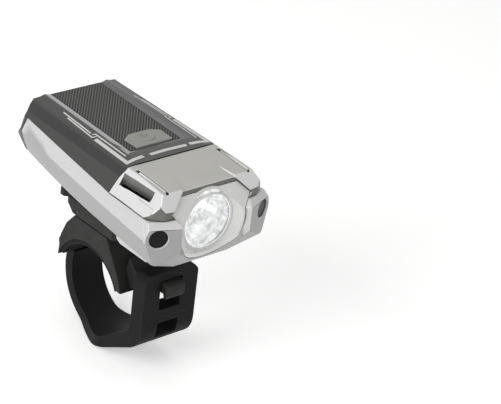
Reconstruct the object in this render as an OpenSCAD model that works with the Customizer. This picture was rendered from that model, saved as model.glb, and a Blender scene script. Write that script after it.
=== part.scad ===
// Bicycle headlight on a rubber-strap handlebar bracket.
// X runs along the handlebar, the beam points along -Y, Z is up, and the origin is on the handlebar's axis.
// The lamp's own pieces are drawn in a lamp frame: y = 0 at the side windows, z = 0 on the optical axis.

/* [Handlebar] */
// Diameter of the handlebar that the bracket sits on
bar_d = 31.8; // [25.4:0.1:35]
// Thickness of the rubber pad between bracket and bar
pad_t = 1.5; // [1:0.1:2.5]

/* [Lamp body] */
// Length from the side windows to the tip of the tail
body_len = 84.4; // [80:0.2:92]
// Wall of the moulded shells
wall = 1.8; // [1.4:0.1:2.2]
// Parting gap between the shells
parting = 0.2; // [0.1:0.05:0.3]
// Width across the deck's edges at the front
deck_w_front = 35.6; // [34:0.2:38]
// Width across the deck's edges at the tail
deck_w_rear = 33.2; // [31:0.2:34]
// Width where the cover's steep band turns outwards, at the front
band_w_front = 39.4; // [38.5:0.2:42]
// Width where the cover's steep band turns outwards, at the tail
band_w_rear = 35.8; // [34.6:0.2:37]
// Width at the seam between cover and tub, at the front
seam_w_front = 46.4; // [44:0.2:48]
// Width at the seam between cover and tub, at the tail
seam_w_rear = 38.4; // [37.5:0.2:40]
// Width across the tub's ridge at the front
ridge_w_front = 51.2; // [49:0.2:54]
// Width across the tub's ridge at the tail
ridge_w_rear = 37.2; // [36:0.2:40]
// Width across the lower chine at the front
chine_w_front = 45.4; // [44:0.2:47]
// Width across the lower chine at the tail
chine_w_rear = 30.4; // [29:0.2:32]
// Width of the flat belly at the front
belly_w_front = 21.6; // [20:0.2:24]
// Width of the flat belly at the tail
belly_w_rear = 21; // [20:0.2:24]
// Width across the deck's crown at the front
crown_w_front = 27.6; // [26.6:0.2:29]
// Width across the deck's crown at the tail
crown_w_rear = 24.2; // [23.6:0.2:26]
// Height of the deck's crown at the front
crown_z_front = 13.8; // [13.6:0.1:14.2]
// Height of the deck's crown at the tail
crown_z_rear = 16.3; // [15.8:0.1:16.8]
// Height of the deck's edge at the front
deck_z_front = 13.6; // [13.2:0.1:13.6]
// Height of the deck's edge at the tail
deck_z_rear = 15.1; // [14.6:0.1:15.4]
// Height where the cover's steep band turns outwards
band_z = 10.4; // [10:0.1:11.5]
// Height of the seam at the bezel's back edge, its lowest point
seam_z = 4.9; // [4:0.1:5.5]
// Rise of the seam from the bezel to the tail
seam_rise_rear = 4.2; // [3:0.1:4.6]
// Rise of the seam from the bezel to the front
seam_rise_front = 1.2; // [0.6:0.1:1.6]
// Height of the tub's ridge at the front
ridge_z_front = -0.2; // [-1:0.1:1]
// Height of the tub's ridge at the tail
ridge_z_rear = 2.4; // [1.6:0.1:3]
// Depth of the belly below the optical axis
keel_depth = 14.2; // [13.6:0.1:15]
// How far the belly rises towards the tail
keel_rise = 6.2; // [5:0.1:7]
// Depth of the lower chine below the optical axis
chine_depth = 8.8; // [8:0.1:9.4]
// How far the lower chine rises towards the tail
chine_rise = 2.6; // [2:0.1:3.4]

/* [Deck] */
// Width of the inlaid panel
panel_w = 20.2; // [19:0.2:21]
// Width of the bevel round the panel
bevel_w = 2.9; // [2:0.1:3.1]
// Front edge of the panel, behind the side windows
panel_y = 30.5; // [30:0.1:31.5]
// Thickness of the inlaid panel
panel_t = 0.8; // [0.6:0.1:1]
// How far the panel lies under the deck's crown
panel_sink = 0.8; // [0.6:0.1:1]
// Width of the power button
button_w = 15; // [12:0.2:18]
// Length of the power button
button_len = 8.8; // [7:0.1:10]
// How far the button stands over the panel
button_proud = 0.6; // [0.5:0.1:0.9]
// Travel of the power button
button_travel = 0.6; // [0.4:0.1:0.6]

/* [Front] */
// Diameter of the visible lens
lens_d = 19.6; // [18:0.2:20.4]
// Distance between the two side windows
window_pitch = 42; // [40.6:0.2:43]
// Diameter of a side window
window_d = 6; // [5:0.1:6.6]
// Angle by which the ears turn outwards
ear_angle = 22; // [18:0.5:26]
// Back edge of the front bezel, behind the side windows
bezel_y = 24; // [23:0.1:25]
// Height of the bezel's top where it meets the lens collar
bezel_nose_z = 12.5; // [12:0.1:13]
// Width of the bezel's deep side slots
slot_w = 1.8; // [1.2:0.1:2.2]

/* [Bracket] */
// Width of the saddle, cradle and pad along the bar
saddle_w = 25; // [24:0.5:30]
// Thickness of the saddle over the pad's crown
crown_t = 6.6; // [6.4:0.1:8]
// Distance of the side windows ahead of the bar's axis
lamp_reach = 44; // [40:0.5:46]
// Half-width of the sliding rail's flange
rail_half = 9; // [8:0.1:9.4]
// Half-width of the sliding rail's neck
neck_half = 6.5; // [5.5:0.1:7]
// Thickness of the rail's flange
flange_t = 1.6; // [1.4:0.1:2]
// Thickness of the cradle's floor
floor_t = 2.2; // [2:0.1:2.6]
// Thickness of the cradle's lips over the rail
lip_t = 0.8; // [0.6:0.1:1.2]
// Radius of the swivel boss
boss_r = 5.9; // [5:0.1:6.2]

/* [Strap] */
// Width of the strap's front pad
strap_w = 22; // [20:0.5:23]
// Width of the strap behind the bar
strap_w_rear = 13; // [11:0.5:14]
// Thickness of the strap round the bar
strap_t = 3.8; // [3:0.1:4.5]
// Thickness of the strap's front pad
strap_pad_t = 6; // [5:0.1:6.5]
// Distance between the bar and the strap's front pad
strap_off = 6.4; // [6:0.1:7]
// Height of the strap's free end over the bar's axis
strap_top = 18.7; // [18:0.1:20]
// Height of the hook's tip over the bar's axis
hook_z = 9.5; // [9:0.1:10]
// Width of the strap's holes
hole_w = 8.8; // [8:0.1:9.4]
// Length of the strap's holes
hole_len = 6; // [5:0.1:6.5]
// Web between the strap's holes
hole_web = 4.9; // [4.6:0.1:5.4]

/* [Fits] */
// Gap between pieces that move on each other
run_gap = 0.3; // [0.2:0.05:0.4]
// Gap between pieces that are fitted together
fit_gap = 0.1; // [0.05:0.05:0.2]

/* [Hidden] */
$fn = 64;

// Reach of cutting prisms past the body
far = 60;
// Overlap of solids that are joined
eps = 0.1;
stations = 11;
y_front = -6;
y_rear = body_len + 4;

// Heights of the bracket's layers over the bar's axis
bar_r = bar_d / 2;
arch_r = bar_r + pad_t;
saddle_top = arch_r + crown_t;
floor_z0 = saddle_top + run_gap;
floor_z1 = floor_z0 + floor_t;
flange_z0 = floor_z1 + run_gap;
flange_z1 = flange_z0 + flange_t;
lip_z0 = flange_z1 + run_gap;
lip_z1 = lip_z0 + lip_t;

// The cradle, the rail and their stop, along the bar's cross axis
cradle_y0 = -14;
cradle_y1 = 16.5;
rail_y0 = cradle_y0 + 1;
stop_t = 1.6;
rail_y1 = cradle_y1 - stop_t - run_gap;

// Lines of the lamp's form
keel_y0 = 10;
keel_y1 = body_len - 8;
function keel_z(y) = -keel_depth + keel_rise * pow(max(y - keel_y0, 0) / (keel_y1 - keel_y0), 2);
lamp_rise = lip_z1 + run_gap - keel_z(lamp_reach + cradle_y0);

tail_y = body_len - 6.4;
seam_y1 = body_len - 11;
function taper(front, rear, y) = front + (rear - front) * y / tail_y;
function bowed(front, rear, bow, y) = taper(front, rear, y) + 4 * bow * (y / tail_y) * (1 - y / tail_y);
function seam_at(y) = y > bezel_y
    ? seam_z + seam_rise_rear * (y - bezel_y) / (seam_y1 - bezel_y)
    : seam_z + seam_rise_front * (bezel_y - y) / bezel_y;
function crown_at(y) = taper(crown_z_front, crown_z_rear, y);
chine_y0 = 30;
chine_run = 45;
function chine_at(y) = -chine_depth + chine_rise * pow(max(y - chine_y0, 0) / chine_run, 2);

// One half of the cross-section at y, drawn in by w, from the crown down to the belly
function half_section(y, w) = [
    [taper(crown_w_front, crown_w_rear, y) / 2 - w, crown_at(y) - w],
    [taper(deck_w_front, deck_w_rear, y) / 2 - w, taper(deck_z_front, deck_z_rear, y) - w],
    [taper(band_w_front, band_w_rear, y) / 2 - w, band_z - w / 2],
    [bowed(seam_w_front, seam_w_rear, 0.4, y) / 2 - w, seam_at(y)],
    [bowed(ridge_w_front, ridge_w_rear, 0.8, y) / 2 - w, taper(ridge_z_front, ridge_z_rear, y)],
    [taper(chine_w_front, chine_w_rear, y) / 2 - w, chine_at(y) + w / 2],
    [bowed(belly_w_front, belly_w_rear, 0.6, y) / 2 - w, keel_z(y) + w]];
function mirrored(h) = [for (i = [len(h) - 1 : -1 : 0]) [-h[i][0], h[i][1]]];
function section(y, w) = concat(half_section(y, w), mirrored(half_section(y, w)));

// Closed loft through the cross-sections
module loft(w, y0, y1) {
    rings = [for (i = [0 : stations]) y0 + (y1 - y0) * i / stations];
    n = len(section(0, 0));
    pts = [for (y = rings) for (p = section(y, w)) [p[0], y, p[1]]];
    skin = [for (i = [0 : stations - 1]) for (j = [0 : n - 1])
        let (a = i * n + j, b = i * n + (j + 1) % n)
        each [[a, b + n, b], [a, a + n, b + n]]];
    front = [[for (j = [0 : n - 1]) j]];
    back = [[for (j = [n - 1 : -1 : 0]) stations * n + j]];
    polyhedron(pts, concat(front, skin, back));
}

// Prisms: an outline in the side view run along X, in plan run along Z, in front view run along Y
module side_prism(outline, w = 2 * far) {
    rotate([90, 0, 90]) translate([0, 0, -w / 2]) linear_extrude(w) polygon(outline);
}
module plan_prism(outline, z0 = -far, z1 = far) {
    translate([0, 0, z0]) linear_extrude(z1 - z0) polygon(outline);
}
module front_prism(outline, y0, y1) {
    translate([0, y1, 0]) rotate([90, 0, 0]) linear_extrude(y1 - y0) polygon(outline);
}
module rod(d, y0, y1) {
    translate([0, y0, 0]) rotate([-90, 0, 0]) cylinder(d = d, h = y1 - y0);
}
module cross_rod(d, w) {
    translate([-w / 2, 0, 0]) rotate([0, 90, 0]) cylinder(d = d, h = w);
}
module block(x0, x1, y0, y1, z0, z1) {
    translate([x0, y0, z0]) cube([x1 - x0, y1 - y0, z1 - z0]);
}
module both_sides() {
    children();
    mirror([1, 0, 0]) children();
}
function arc(c, r, a0, a1, n) = [for (i = [0 : n]) let (a = a0 + (a1 - a0) * i / n) c + r * [cos(a), sin(a)]];
function both(h) = concat(h, mirrored(h));

// Moves a lamp piece to its place over the bar
module at_lamp() translate([0, -lamp_reach, lamp_rise]) children();

// Side view of the tail, set back from its tip: a slanted stern with a rounded lip
stern_line = [[-10.4, 15.5], [-7.2, 12.6], [-0.6, 2], [0, 0.3], [-0.5, -1.5], [-4.2, -8.5], [-6, -far]];
// The same at the corners, seen square to them
corner_line = [[-5.5, 15], [-4.4, 12.7], [-1.7, 3.6], [0, 0.3], [-0.5, -1.5], [-4.2, -8.5], [-6, -far]];
corner_turn = 38;
corner_tip = body_len - 9.9;
function ahead_of(line, tip) = concat([[y_front - far, -far], [y_front - far, far], [tip + line[0][0], far]],
    [for (p = line) [tip + p[0], p[1]]]);
module tail_form(w) {
    intersection() {
        side_prism(ahead_of(stern_line, body_len - w));
        rotate([0, 0, corner_turn]) side_prism(ahead_of(corner_line, corner_tip - w), 4 * far);
        rotate([0, 0, -corner_turn]) side_prism(ahead_of(corner_line, corner_tip - w), 4 * far);
    }
}

module outer_form() {
    intersection() {
        loft(0, y_front, y_rear);
        tail_form(0);
    }
}
cavity_y = 9.5;
module inner_form() {
    intersection() {
        loft(wall, cavity_y, y_rear);
        tail_form(wall);
    }
}

// The tub's share of the form, in the side view, grown by g
tub_y1 = body_len - 7;
function tub_outline(g) = [
    [y_front - far, -far], [y_front - far, seam_at(y_front) + g], [bezel_y, seam_at(bezel_y) + g],
    [seam_y1 + g, seam_at(seam_y1) + g], [tub_y1 + g, taper(ridge_z_front, ridge_z_rear, tail_y)],
    [tub_y1 + 0.6 + g, -2], [tub_y1 - 1.5 + g, -far]];
// The bezel's share, in the side view, grown by g: its back edge leans
bezel_lean = 2.6;
bezel_top = crown_at(bezel_y) - 0.4;
function bezel_outline(g) = [
    [y_front - far, -far], [bezel_y + 0.8 + g, -far], [bezel_y + 0.8 + g, seam_z], [bezel_y - 0.2 + g, band_z],
    [bezel_y - bezel_lean + g, bezel_top + 1], [bezel_y - bezel_lean + g, far], [y_front - far, far]];

// Case screws and the posts that they join
screw_y = [bezel_y + 5, body_len - 16.4];
screw_x = [chine_w_front / 2 - 6.7, chine_w_rear / 2 - 5.7];
post_r = 2.7;
post_z = -2;
case_screw_r = 1.2;
case_head_r = 2.2;
case_head_t = 1.6;
case_head_z = -6.5;
case_bite = 6;
hex_r = 1;
module at_case_screws() {
    for (i = [0 : 1], s = [-1, 1]) translate([s * screw_x[i], screw_y[i], 0]) children();
}

// Deck recess, panel and button: all follow the crown's tilt
deck_tilt = atan((crown_z_rear - crown_z_front) / tail_y);
function panel_top(y) = crown_at(y) - panel_sink;
module deck_slab(half, y0, z0, z1) {
    side_prism([[y0, panel_top(y0) + z0], [y_rear, panel_top(y_rear) + z0], [y_rear, panel_top(y_rear) + z1],
        [y0, panel_top(y0) + z1]], 2 * half);
}
module deck_recess() {
    intersection() {
        translate([0, 0, panel_top(0)]) rotate([deck_tilt, 0, 0])
            front_prism(both([[panel_w / 2, 0], [panel_w / 2 + 2 * bevel_w, 2 * panel_sink],
                [panel_w / 2 + 2 * bevel_w, far]]), 0, 2 * far);
        side_prism([[panel_y, panel_top(panel_y)], [panel_y - 2 * bevel_w, panel_top(panel_y) + 2 * panel_sink],
            [panel_y - 2 * bevel_w, far], [y_rear, far], [y_rear, panel_top(panel_y)]]);
    }
}
button_y = panel_y + run_gap + fit_gap;
button_cut = 2.2;
button_draw = 0.4;
stem_r = 1.6;
stem_len = 0.8;
button_corner = 3.3;
function button_plan(g) = both([[button_w / 2 - button_draw + g, button_y - g],
    [button_w / 2 + g, button_y + button_len - button_cut + g / 2],
    [button_w / 2 - button_corner + g / 2, button_y + button_len + g]]);
button_z = panel_top(button_y) + button_proud;
deck_t = 1.4;
button_flange = 0.8;
deck_under = panel_top(panel_y) - panel_t - deck_t;
flange_top = deck_under - run_gap;
stem_z = flange_top - button_flange - stem_len;
button_mid = button_y + button_len / 2;

module power_button() {
    color("#8f8f8b") {
        plan_prism(button_plan(0), flange_top - button_flange, button_z);
        plan_prism(button_plan(button_flange), flange_top - button_flange, flange_top);
        translate([0, button_mid, stem_z]) cylinder(r = stem_r, h = flange_top - stem_z);
    }
}

module deck_panel() {
    color("#464644") difference() {
        intersection() {
            deck_slab(panel_w / 2 - parting, panel_y + parting, -panel_t, 0);
            side_prism(ahead_of(stern_line, body_len));
        }
        plan_prism(button_plan(run_gap));
        block(-button_w / 2, button_w / 2, panel_y, button_y + 1, 0, far);
    }
}

// Rubber flap over the charging socket: a plate let into the stern's slant
usb_half_w = 6;
flap_t = 1.5;
flap_s0 = 4;
flap_s1 = 11;
flap_top_gap = 0.5;
nail_s = 0.9;
nail_w = 0.8;
nail_half = 2.6;
nail_depth = 0.5;
slant_a = [body_len, 0] + stern_line[1];
slant_b = [body_len, 0] + stern_line[2];
slant_u = (slant_b - slant_a) / norm(slant_b - slant_a);
slant_n = [-slant_u[1], slant_u[0]];
function on_slant(s, t) = slant_a + s * slant_u + t * slant_n;
usb_z = on_slant((flap_s0 + flap_s1) / 2, -flap_t / 2)[1];
module flap_plate(s0, s1, t0, t1, half) {
    side_prism([on_slant(s0, t0), on_slant(s1, t0), on_slant(s1, t1), on_slant(s0, t1)], 2 * half);
}
module flap_pocket() {
    flap_plate(flap_s0 - flap_top_gap, flap_s1 + run_gap, -flap_t - run_gap, far / 4, usb_half_w + run_gap);
}
module usb_cover() {
    color("#2b2b2b") difference() {
        flap_plate(flap_s0, flap_s1, -flap_t, 0, usb_half_w);
        flap_plate(flap_s0 + nail_s, flap_s0 + nail_s + nail_w, -nail_depth, 1, nail_half);
    }
}

module top_cover() {
    color("#4a4a48") difference() {
        union() {
            difference() {
                outer_form();
                inner_form();
            }
            intersection() {
                outer_form();
                union() {
                    at_case_screws() translate([0, 0, post_z]) cylinder(r = post_r, h = far);
                    deck_slab(panel_w / 2 + wall, panel_y - wall, -panel_t - deck_t, 0);
                    flap_plate(flap_s0 - wall, flap_s1 + wall, -flap_t - 2 * wall, far / 4, usb_half_w + wall);
                }
            }
        }
        side_prism(tub_outline(parting / 2));
        side_prism(bezel_outline(parting));
        deck_recess();
        deck_slab(panel_w / 2, panel_y, -panel_t, far);
        plan_prism(button_plan(run_gap));
        plan_prism(button_plan(button_flange + run_gap), -far, deck_under);
        flap_pocket();
        block(-socket_half_w - fit_gap, socket_half_w + fit_gap, socket_y0, y_rear,
              socket_z0 - fit_gap, socket_z0 + socket_h + fit_gap);
        at_case_screws() translate([0, 0, post_z - 1]) cylinder(r = case_screw_r, h = case_bite + 3);
    }
}

// Collar, lens and light engine, all on the optical axis
lip_r = lens_d / 2;
lens_flange_r = lip_r + 0.6;
collar_r = 13.1;
collar_top_half = 10;
collar_shoulder = [16, 6.9];
collar_depth = 3.4;
collar_front = -1;
collar_rake_z = -7.2;
collar_brow = [4.3, 2.4];
collar_wall = 0.5;
ring_y = 1.9;
barrel_r = 11.5;
barrel_y1 = 9;
function collar_crown(g) = both([[collar_top_half + g, bezel_nose_z + g],
    [collar_shoulder[0] + g, collar_shoulder[1]],
    [collar_r * 0.9, 1.5]]);
module collar_body(g, y0, y1) {
    intersection() {
        union() {
            rod(2 * (collar_r + g), y0, y1);
            front_prism(collar_crown(g), y0, y1);
        }
        block(-far, far, y0, y1, -far, bezel_nose_z + g);
    }
}
lens_y0 = ring_y + 0.7;
lens_t = 1.6;
lens_play = 0.3;
dome_h = 1.2;
dome_n = 6;
dome_y = ring_y - 0.9;
tip_r = 3.6;
cup_r = 2.9;
cup_floor = 0.9;
cup_dome = 0.5;
gasket_t = 1;
sink_y0 = lens_y0 + lens_t + gasket_t;
sink_y1 = 14.2;
sink_wall = 0.6;
fin_y1 = 18.5;
fin_t = 1.2;
fin_pitch = 3;
fin_half = 7;
board_t = 1.2;
board_y0 = sink_y1 - wall - board_t;
led_h = 1.2;
led_half = 1.75;
led_dome_r = 1.4;

module lens_collar() {
    color("#e4e4e2") difference() {
        intersection() {
            union() {
                collar_body(0, collar_front - eps, collar_depth);
                rod(2 * barrel_r, collar_depth - eps, barrel_y1);
            }
            side_prism([[collar_front + chin_lean * far / 2, collar_rake_z - far / 2],
                [collar_front, collar_rake_z],
                [collar_front, collar_brow[1]], [collar_brow[0], bezel_nose_z + eps], [collar_brow[0], far],
                [far, far], [far, collar_rake_z - far / 2]]);
        }
        translate([0, collar_front - collar_wall, 0]) rotate([-90, 0, 0])
            cylinder(r1 = collar_r - collar_wall, r2 = lip_r, h = ring_y - collar_front + collar_wall);
        rod(2 * lip_r, ring_y - eps, far);
        rod(2 * (lens_flange_r + fit_gap), lens_y0, far);
    }
}

module lens() {
    color("#f2f2f0") rotate([-90, 0, 0]) rotate_extrude() polygon(concat(
        [[0, dome_y]],
        [for (i = [1 : dome_n]) [(lip_r - lens_play) * i / dome_n, dome_y + dome_h * pow(i / dome_n, 2)]],
        [[lip_r - lens_play, lens_y0], [lens_flange_r, lens_y0], [lens_flange_r, lens_y0 + lens_t],
         [lip_r - gasket_t, lens_y0 + lens_t], [tip_r, board_y0 - lens_play], [cup_r, board_y0 - lens_play],
         [cup_r - lens_play, board_y0 - led_h - cup_floor - cup_dome], [0, board_y0 - led_h - cup_floor]]));
}

module lens_gasket() {
    color("#303030") difference() {
        rod(2 * lens_flange_r, lens_y0 + lens_t, sink_y0);
        rod(2 * (lip_r - gasket_t + 2 * fit_gap), lens_y0, sink_y0 + 1);
    }
}

module heat_sink() {
    color("#b9babb") difference() {
        union() {
            rod(2 * lens_flange_r, sink_y0, sink_y1);
            for (i = [-2 : 2])
                block(i * fin_pitch - fin_t / 2, i * fin_pitch + fin_t / 2, sink_y1 - eps, fin_y1,
                -fin_half, fin_half);
        }
        rod(2 * (lip_r - sink_wall), sink_y0 - 1, board_y0 + board_t);
    }
}

module led_board() {
    color("#e6e4da") rod(2 * (lip_r - sink_wall - fit_gap), board_y0, board_y0 + board_t);
}

module led() {
    color("#f3dc6a") {
        block(-led_half, led_half, board_y0 - led_h / 2, board_y0, -led_half, led_half);
        translate([0, board_y0 - led_h / 2, 0]) rotate([90, 0, 0]) cylinder(r = led_dome_r, h = led_h / 2);
    }
}

// Ears with their side windows
window_set = 0.5;
window_t = 1.6;
well_depth = 5;
side_led_d = 3;
side_led_foot = 0.8;
wire_d = 2;
module at_windows() {
    for (s = [-1, 1]) translate([s * window_pitch / 2, 0, 0]) rotate([0, 0, s * ear_angle]) children();
}
module side_windows() {
    color("#262626") at_windows() rod(window_d, window_set, window_set + window_t);
}
module side_leds() {
    color("#d8b25a") at_windows() {
        rod(side_led_d, window_set + window_t + 2 * fit_gap, well_depth - side_led_foot);
        rod(side_led_d + side_led_foot, well_depth - side_led_foot, well_depth);
    }
}

ear_in = 14;
nose_y = -1.2;
ear_out = ridge_w_front / 2 - 0.5;
function ear_face(x) = (x - window_pitch / 2) * tan(ear_angle);
tub_plan = both([[far, 2 * far], [far, 14], [ridge_w_front / 2 + 1.2, ear_face(ear_out) + 4.2],
    [ear_out, ear_face(ear_out)], [ear_in, ear_face(ear_in)], [ear_in - 1, nose_y]]);
ear_top_z = 3.3;
ear_cut = 9;
ear_bevel = 3.4;
ledge_z = 5;
ledge_t = 3.5;
pcb_y0 = bezel_y + 3;
pcb_y1 = body_len - 11;
ledge_half = 1.2;
ledge_x = 13.4;
ledge_y = [pcb_y0 + 9, pcb_y1 - 13.4];
pouch_half = 12;
pouch_h = 8;
pouch_y0 = screw_y[0] + post_r + 0.8;
pouch_y1 = screw_y[1] - post_r - run_gap;
pouch_edge = 1.1;
rib_z = keel_z(pouch_y1) + wall + run_gap;
rib_y = [pouch_y0 + 3, (pouch_y0 + pouch_y1) / 2, pouch_y1 - 3];
rib_half = 0.7;
skid_x = 17.2;
skid_t = 1.1;
skid_h = 4;
skid_z = -13.9;
skid_y0 = 7;
skid_y1 = 26;
module ear_bevels() {
    for (s = [-1, 1]) translate([s * window_pitch / 2, 0, 0]) rotate([0, 0, s * ear_angle])
        translate([s * window_d, 0, 0]) side_prism([[-ear_cut, ear_top_z - 4], [-ear_cut, far],
            [ear_bevel + ear_cut, far], [ear_bevel, ear_top_z + ear_bevel], [0, ear_top_z],
            [-ear_cut, ear_top_z - 1]], window_pitch - 2);
}
chin_y = -2.6;
chin_z = -5.3;
chin_lean = 0.7;
chin_outline = [[y_front - far, chin_z], [chin_y, chin_z], [chin_y + chin_lean * (far / 2 + chin_z), -far / 2],
    [far * 2, -far / 2], [far * 2, far], [y_front - far, far]];

module tub_ribs() {
    for (y = rib_y) block(-belly_w_rear / 2, belly_w_rear / 2, y - rib_half, y + rib_half, -far, rib_z);
    both_sides() for (y = ledge_y)
        block(ledge_x, far, y - ledge_half, y + ledge_half, ledge_z - ledge_t, ledge_z);
}

module skids() {
    both_sides() difference() {
        side_prism([[skid_y0, skid_z + skid_h], [skid_y1, skid_z + skid_h], [skid_y1 - 1, skid_z + 1],
            [skid_y1 - 3, skid_z], [skid_y0 + 2.5, skid_z], [skid_y0 + 1, skid_z + 1]], 2 * skid_x);
        block(-far, skid_x - skid_t, -far, far, -far, far);
        inner_form();
    }
}

module lower_shell() {
    color("#c3c3c2") difference() {
        intersection() {
            union() {
                difference() {
                    outer_form();
                    inner_form();
                }
                intersection() {
                    outer_form();
                    union() {
                        at_case_screws() translate([0, 0, -far])
                            cylinder(r = post_r, h = far + post_z - parting);
                        tub_ribs();
                    }
                }
                skids();
            }
            side_prism(tub_outline(-parting / 2));
            side_prism(chin_outline);
            plan_prism(tub_plan);
        }
        ear_bevels();
        collar_body(fit_gap, y_front - far, collar_depth + fit_gap);
        rod(2 * (barrel_r + fit_gap), 0, cavity_y + 1);
        at_windows() rod(window_d + 2 * fit_gap, -far, well_depth);
        at_windows() rod(wire_d, 0, cavity_y + 4);
        at_case_screws() {
            translate([0, 0, -far]) cylinder(r = case_screw_r + fit_gap, h = 2 * far);
            translate([0, 0, -far]) cylinder(r = case_head_r + run_gap, h = far + case_head_z);
        }
        at_rail_screws() cylinder(r = rail_screw_r, h = rail_screw_out, center = true);
    }
}

// Front bezel with its slots, grooves and the plain facet over the lens
bezel_front = 0.7;
bezel_cheek_y = 6.6;
bezel_corner = [1.6, 3];
bezel_nose_half = [18.6, 15];
bezel_plan = both([[far, far], [far, 2 * bezel_cheek_y], [seam_w_front / 2 + run_gap, bezel_cheek_y],
    [seam_w_front / 2 - bezel_corner[0], bezel_corner[1]], [bezel_nose_half[0], bezel_front],
    [bezel_nose_half[1], bezel_front - 0.2]]);
facet_y1 = 12;
facet_y0 = 3.6;
bezel_step = 0.7;
bezel_hump = 1.2;
brow = [0.2, 7.4];
lip = [-0.4, 6.2];
function bezel_side(w) = [[bezel_y + 2, seam_z - 3], [bezel_y + 2, bezel_top - w],
    [bezel_y - bezel_lean, bezel_top - w], [facet_y1, bezel_nose_z + bezel_hump - w],
    [facet_y0 + w, bezel_nose_z + bezel_step - w], [brow[0] + w, brow[1] - w], [lip[0] + w, lip[1] - w],
    [lip[0] + w, seam_z - 3]];
slot_x = 20.2;
slot_y0 = 7;
slot_y1 = bezel_y - 1.6;
slot_floor = [8.6, 6.4];
cheek_rise = [0.8, 3.6];
groove_x = 16.8;
groove_w = 1.2;
groove_y0 = 3.4;
groove_y1 = bezel_y - 4.6;
groove_depth = [1, 1.1];
facet_half = [8.8, 10.6];
facet_out = 2;
module bezel_cuts() {
    both_sides() {
        cheek = [[seam_w_front / 2 - 0.1, seam_z + cheek_rise[0]], [slot_x + 0.5, seam_z + cheek_rise[1]],
                 [far, seam_z + cheek_rise[1]], [far, seam_z + cheek_rise[0]]];
        front_prism(cheek, facet_y0 + 0.4, far);
        intersection() {
            block(slot_x - slot_w, slot_x, slot_y0, slot_y1, seam_z + 1, far);
            side_prism([[slot_y0, slot_floor[0]], [bezel_y, slot_floor[1]], [bezel_y, far], [slot_y0, far]]);
        }
        intersection() {
            block(groove_x - groove_w, groove_x, groove_y0, groove_y1, 0, far);
            side_prism([[groove_y0 - 0.4, bezel_nose_z - groove_depth[0]],
                [bezel_y, bezel_top - groove_depth[1]], [bezel_y, far], [groove_y0 - 0.4, far]]);
        }
    }
    intersection() {
        plan_prism(both([[facet_half[0], facet_y1], [facet_half[1], facet_out + 0.4]]));
        side_prism([[facet_y1, bezel_nose_z + bezel_hump], [facet_y0, bezel_nose_z], [facet_out, bezel_nose_z],
            [facet_out, far], [facet_y1, far]]);
    }
}
module front_bezel() {
    color("#a3a29c") difference() {
        intersection() {
            outer_form();
            side_prism(bezel_side(0));
            side_prism(bezel_outline(0));
            plan_prism(bezel_plan);
        }
        side_prism(tub_outline(parting / 2));
        intersection() {
            inner_form();
            side_prism(bezel_side(wall));
        }
        collar_body(fit_gap, y_front - far, collar_depth + fit_gap);
        rod(2 * (barrel_r + fit_gap), 0, cavity_y + 1);
        bezel_cuts();
    }
}

// Electronics on the tub's ledges and ribs
board_half = 16.6;
pcb_t = 1.2;
pcb_top = ledge_z + pcb_t;
pcb_draw = 2.4;
socket_half_w = 3.7;
socket_h = 2.6;
socket_z0 = usb_z - socket_h / 2;
socket_t = 0.3;
socket_y0 = pcb_y1 - 3.4;
socket_y1 = on_slant(flap_s0, -flap_t - run_gap)[0] - fit_gap;
socket_tab = 1.6;
tab_t = 0.4;
module control_board() {
    color("#2d6b46") difference() {
        plan_prism(both([[board_half, pcb_y0], [board_half - pcb_draw, pcb_y1]]), ledge_z, pcb_top);
        at_case_screws() cylinder(r = post_r + run_gap, h = far, center = true);
        block(-socket_half_w - fit_gap, socket_half_w + fit_gap, socket_y0 - fit_gap, far * 2, -far, far);
    }
}
switch_half = 3;
switch_cap_r = 1.7;
switch_cap_h = 1;
module tact_switch() {
    color("#3a3a3c") {
        block(-switch_half, switch_half, button_mid - switch_half, button_mid + switch_half, pcb_top,
              stem_z - button_travel - switch_cap_h);
        translate([0, button_mid, pcb_top])
            cylinder(r = switch_cap_r, h = stem_z - button_travel - fit_gap - pcb_top);
    }
}
module usb_socket() {
    color("#bdbec0") difference() {
        union() {
            block(-socket_half_w, socket_half_w, socket_y0, socket_y1, socket_z0, socket_z0 + socket_h);
            both_sides()
                block(socket_half_w - eps, socket_half_w + socket_tab, socket_y0 + tab_t, pcb_y1 - tab_t,
                pcb_top, pcb_top + tab_t);
        }
        block(-socket_half_w + socket_t, socket_half_w - socket_t, socket_y0 + socket_t, far * 2,
              socket_z0 + socket_t, socket_z0 + socket_h - socket_t);
    }
}
module battery_pouch() {
    color("#b8bcc0") front_prism(both([[pouch_half - pouch_edge, rib_z], [pouch_half, rib_z + pouch_edge],
        [pouch_half, rib_z + pouch_h - pouch_edge], [pouch_half - pouch_edge, rib_z + pouch_h]]),
        pouch_y0, pouch_y1);
}
module case_screws() {
    color("#c9c9c6") at_case_screws() difference() {
        union() {
            translate([0, 0, case_head_z - case_head_t]) cylinder(r = case_head_r, h = case_head_t);
            translate([0, 0, case_head_z - eps])
                cylinder(r = case_screw_r, h = post_z + case_bite - case_head_z);
        }
        translate([0, 0, case_head_z - case_head_t - eps]) cylinder(r = hex_r, h = case_head_t / 2, $fn = 6);
    }
}

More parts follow.
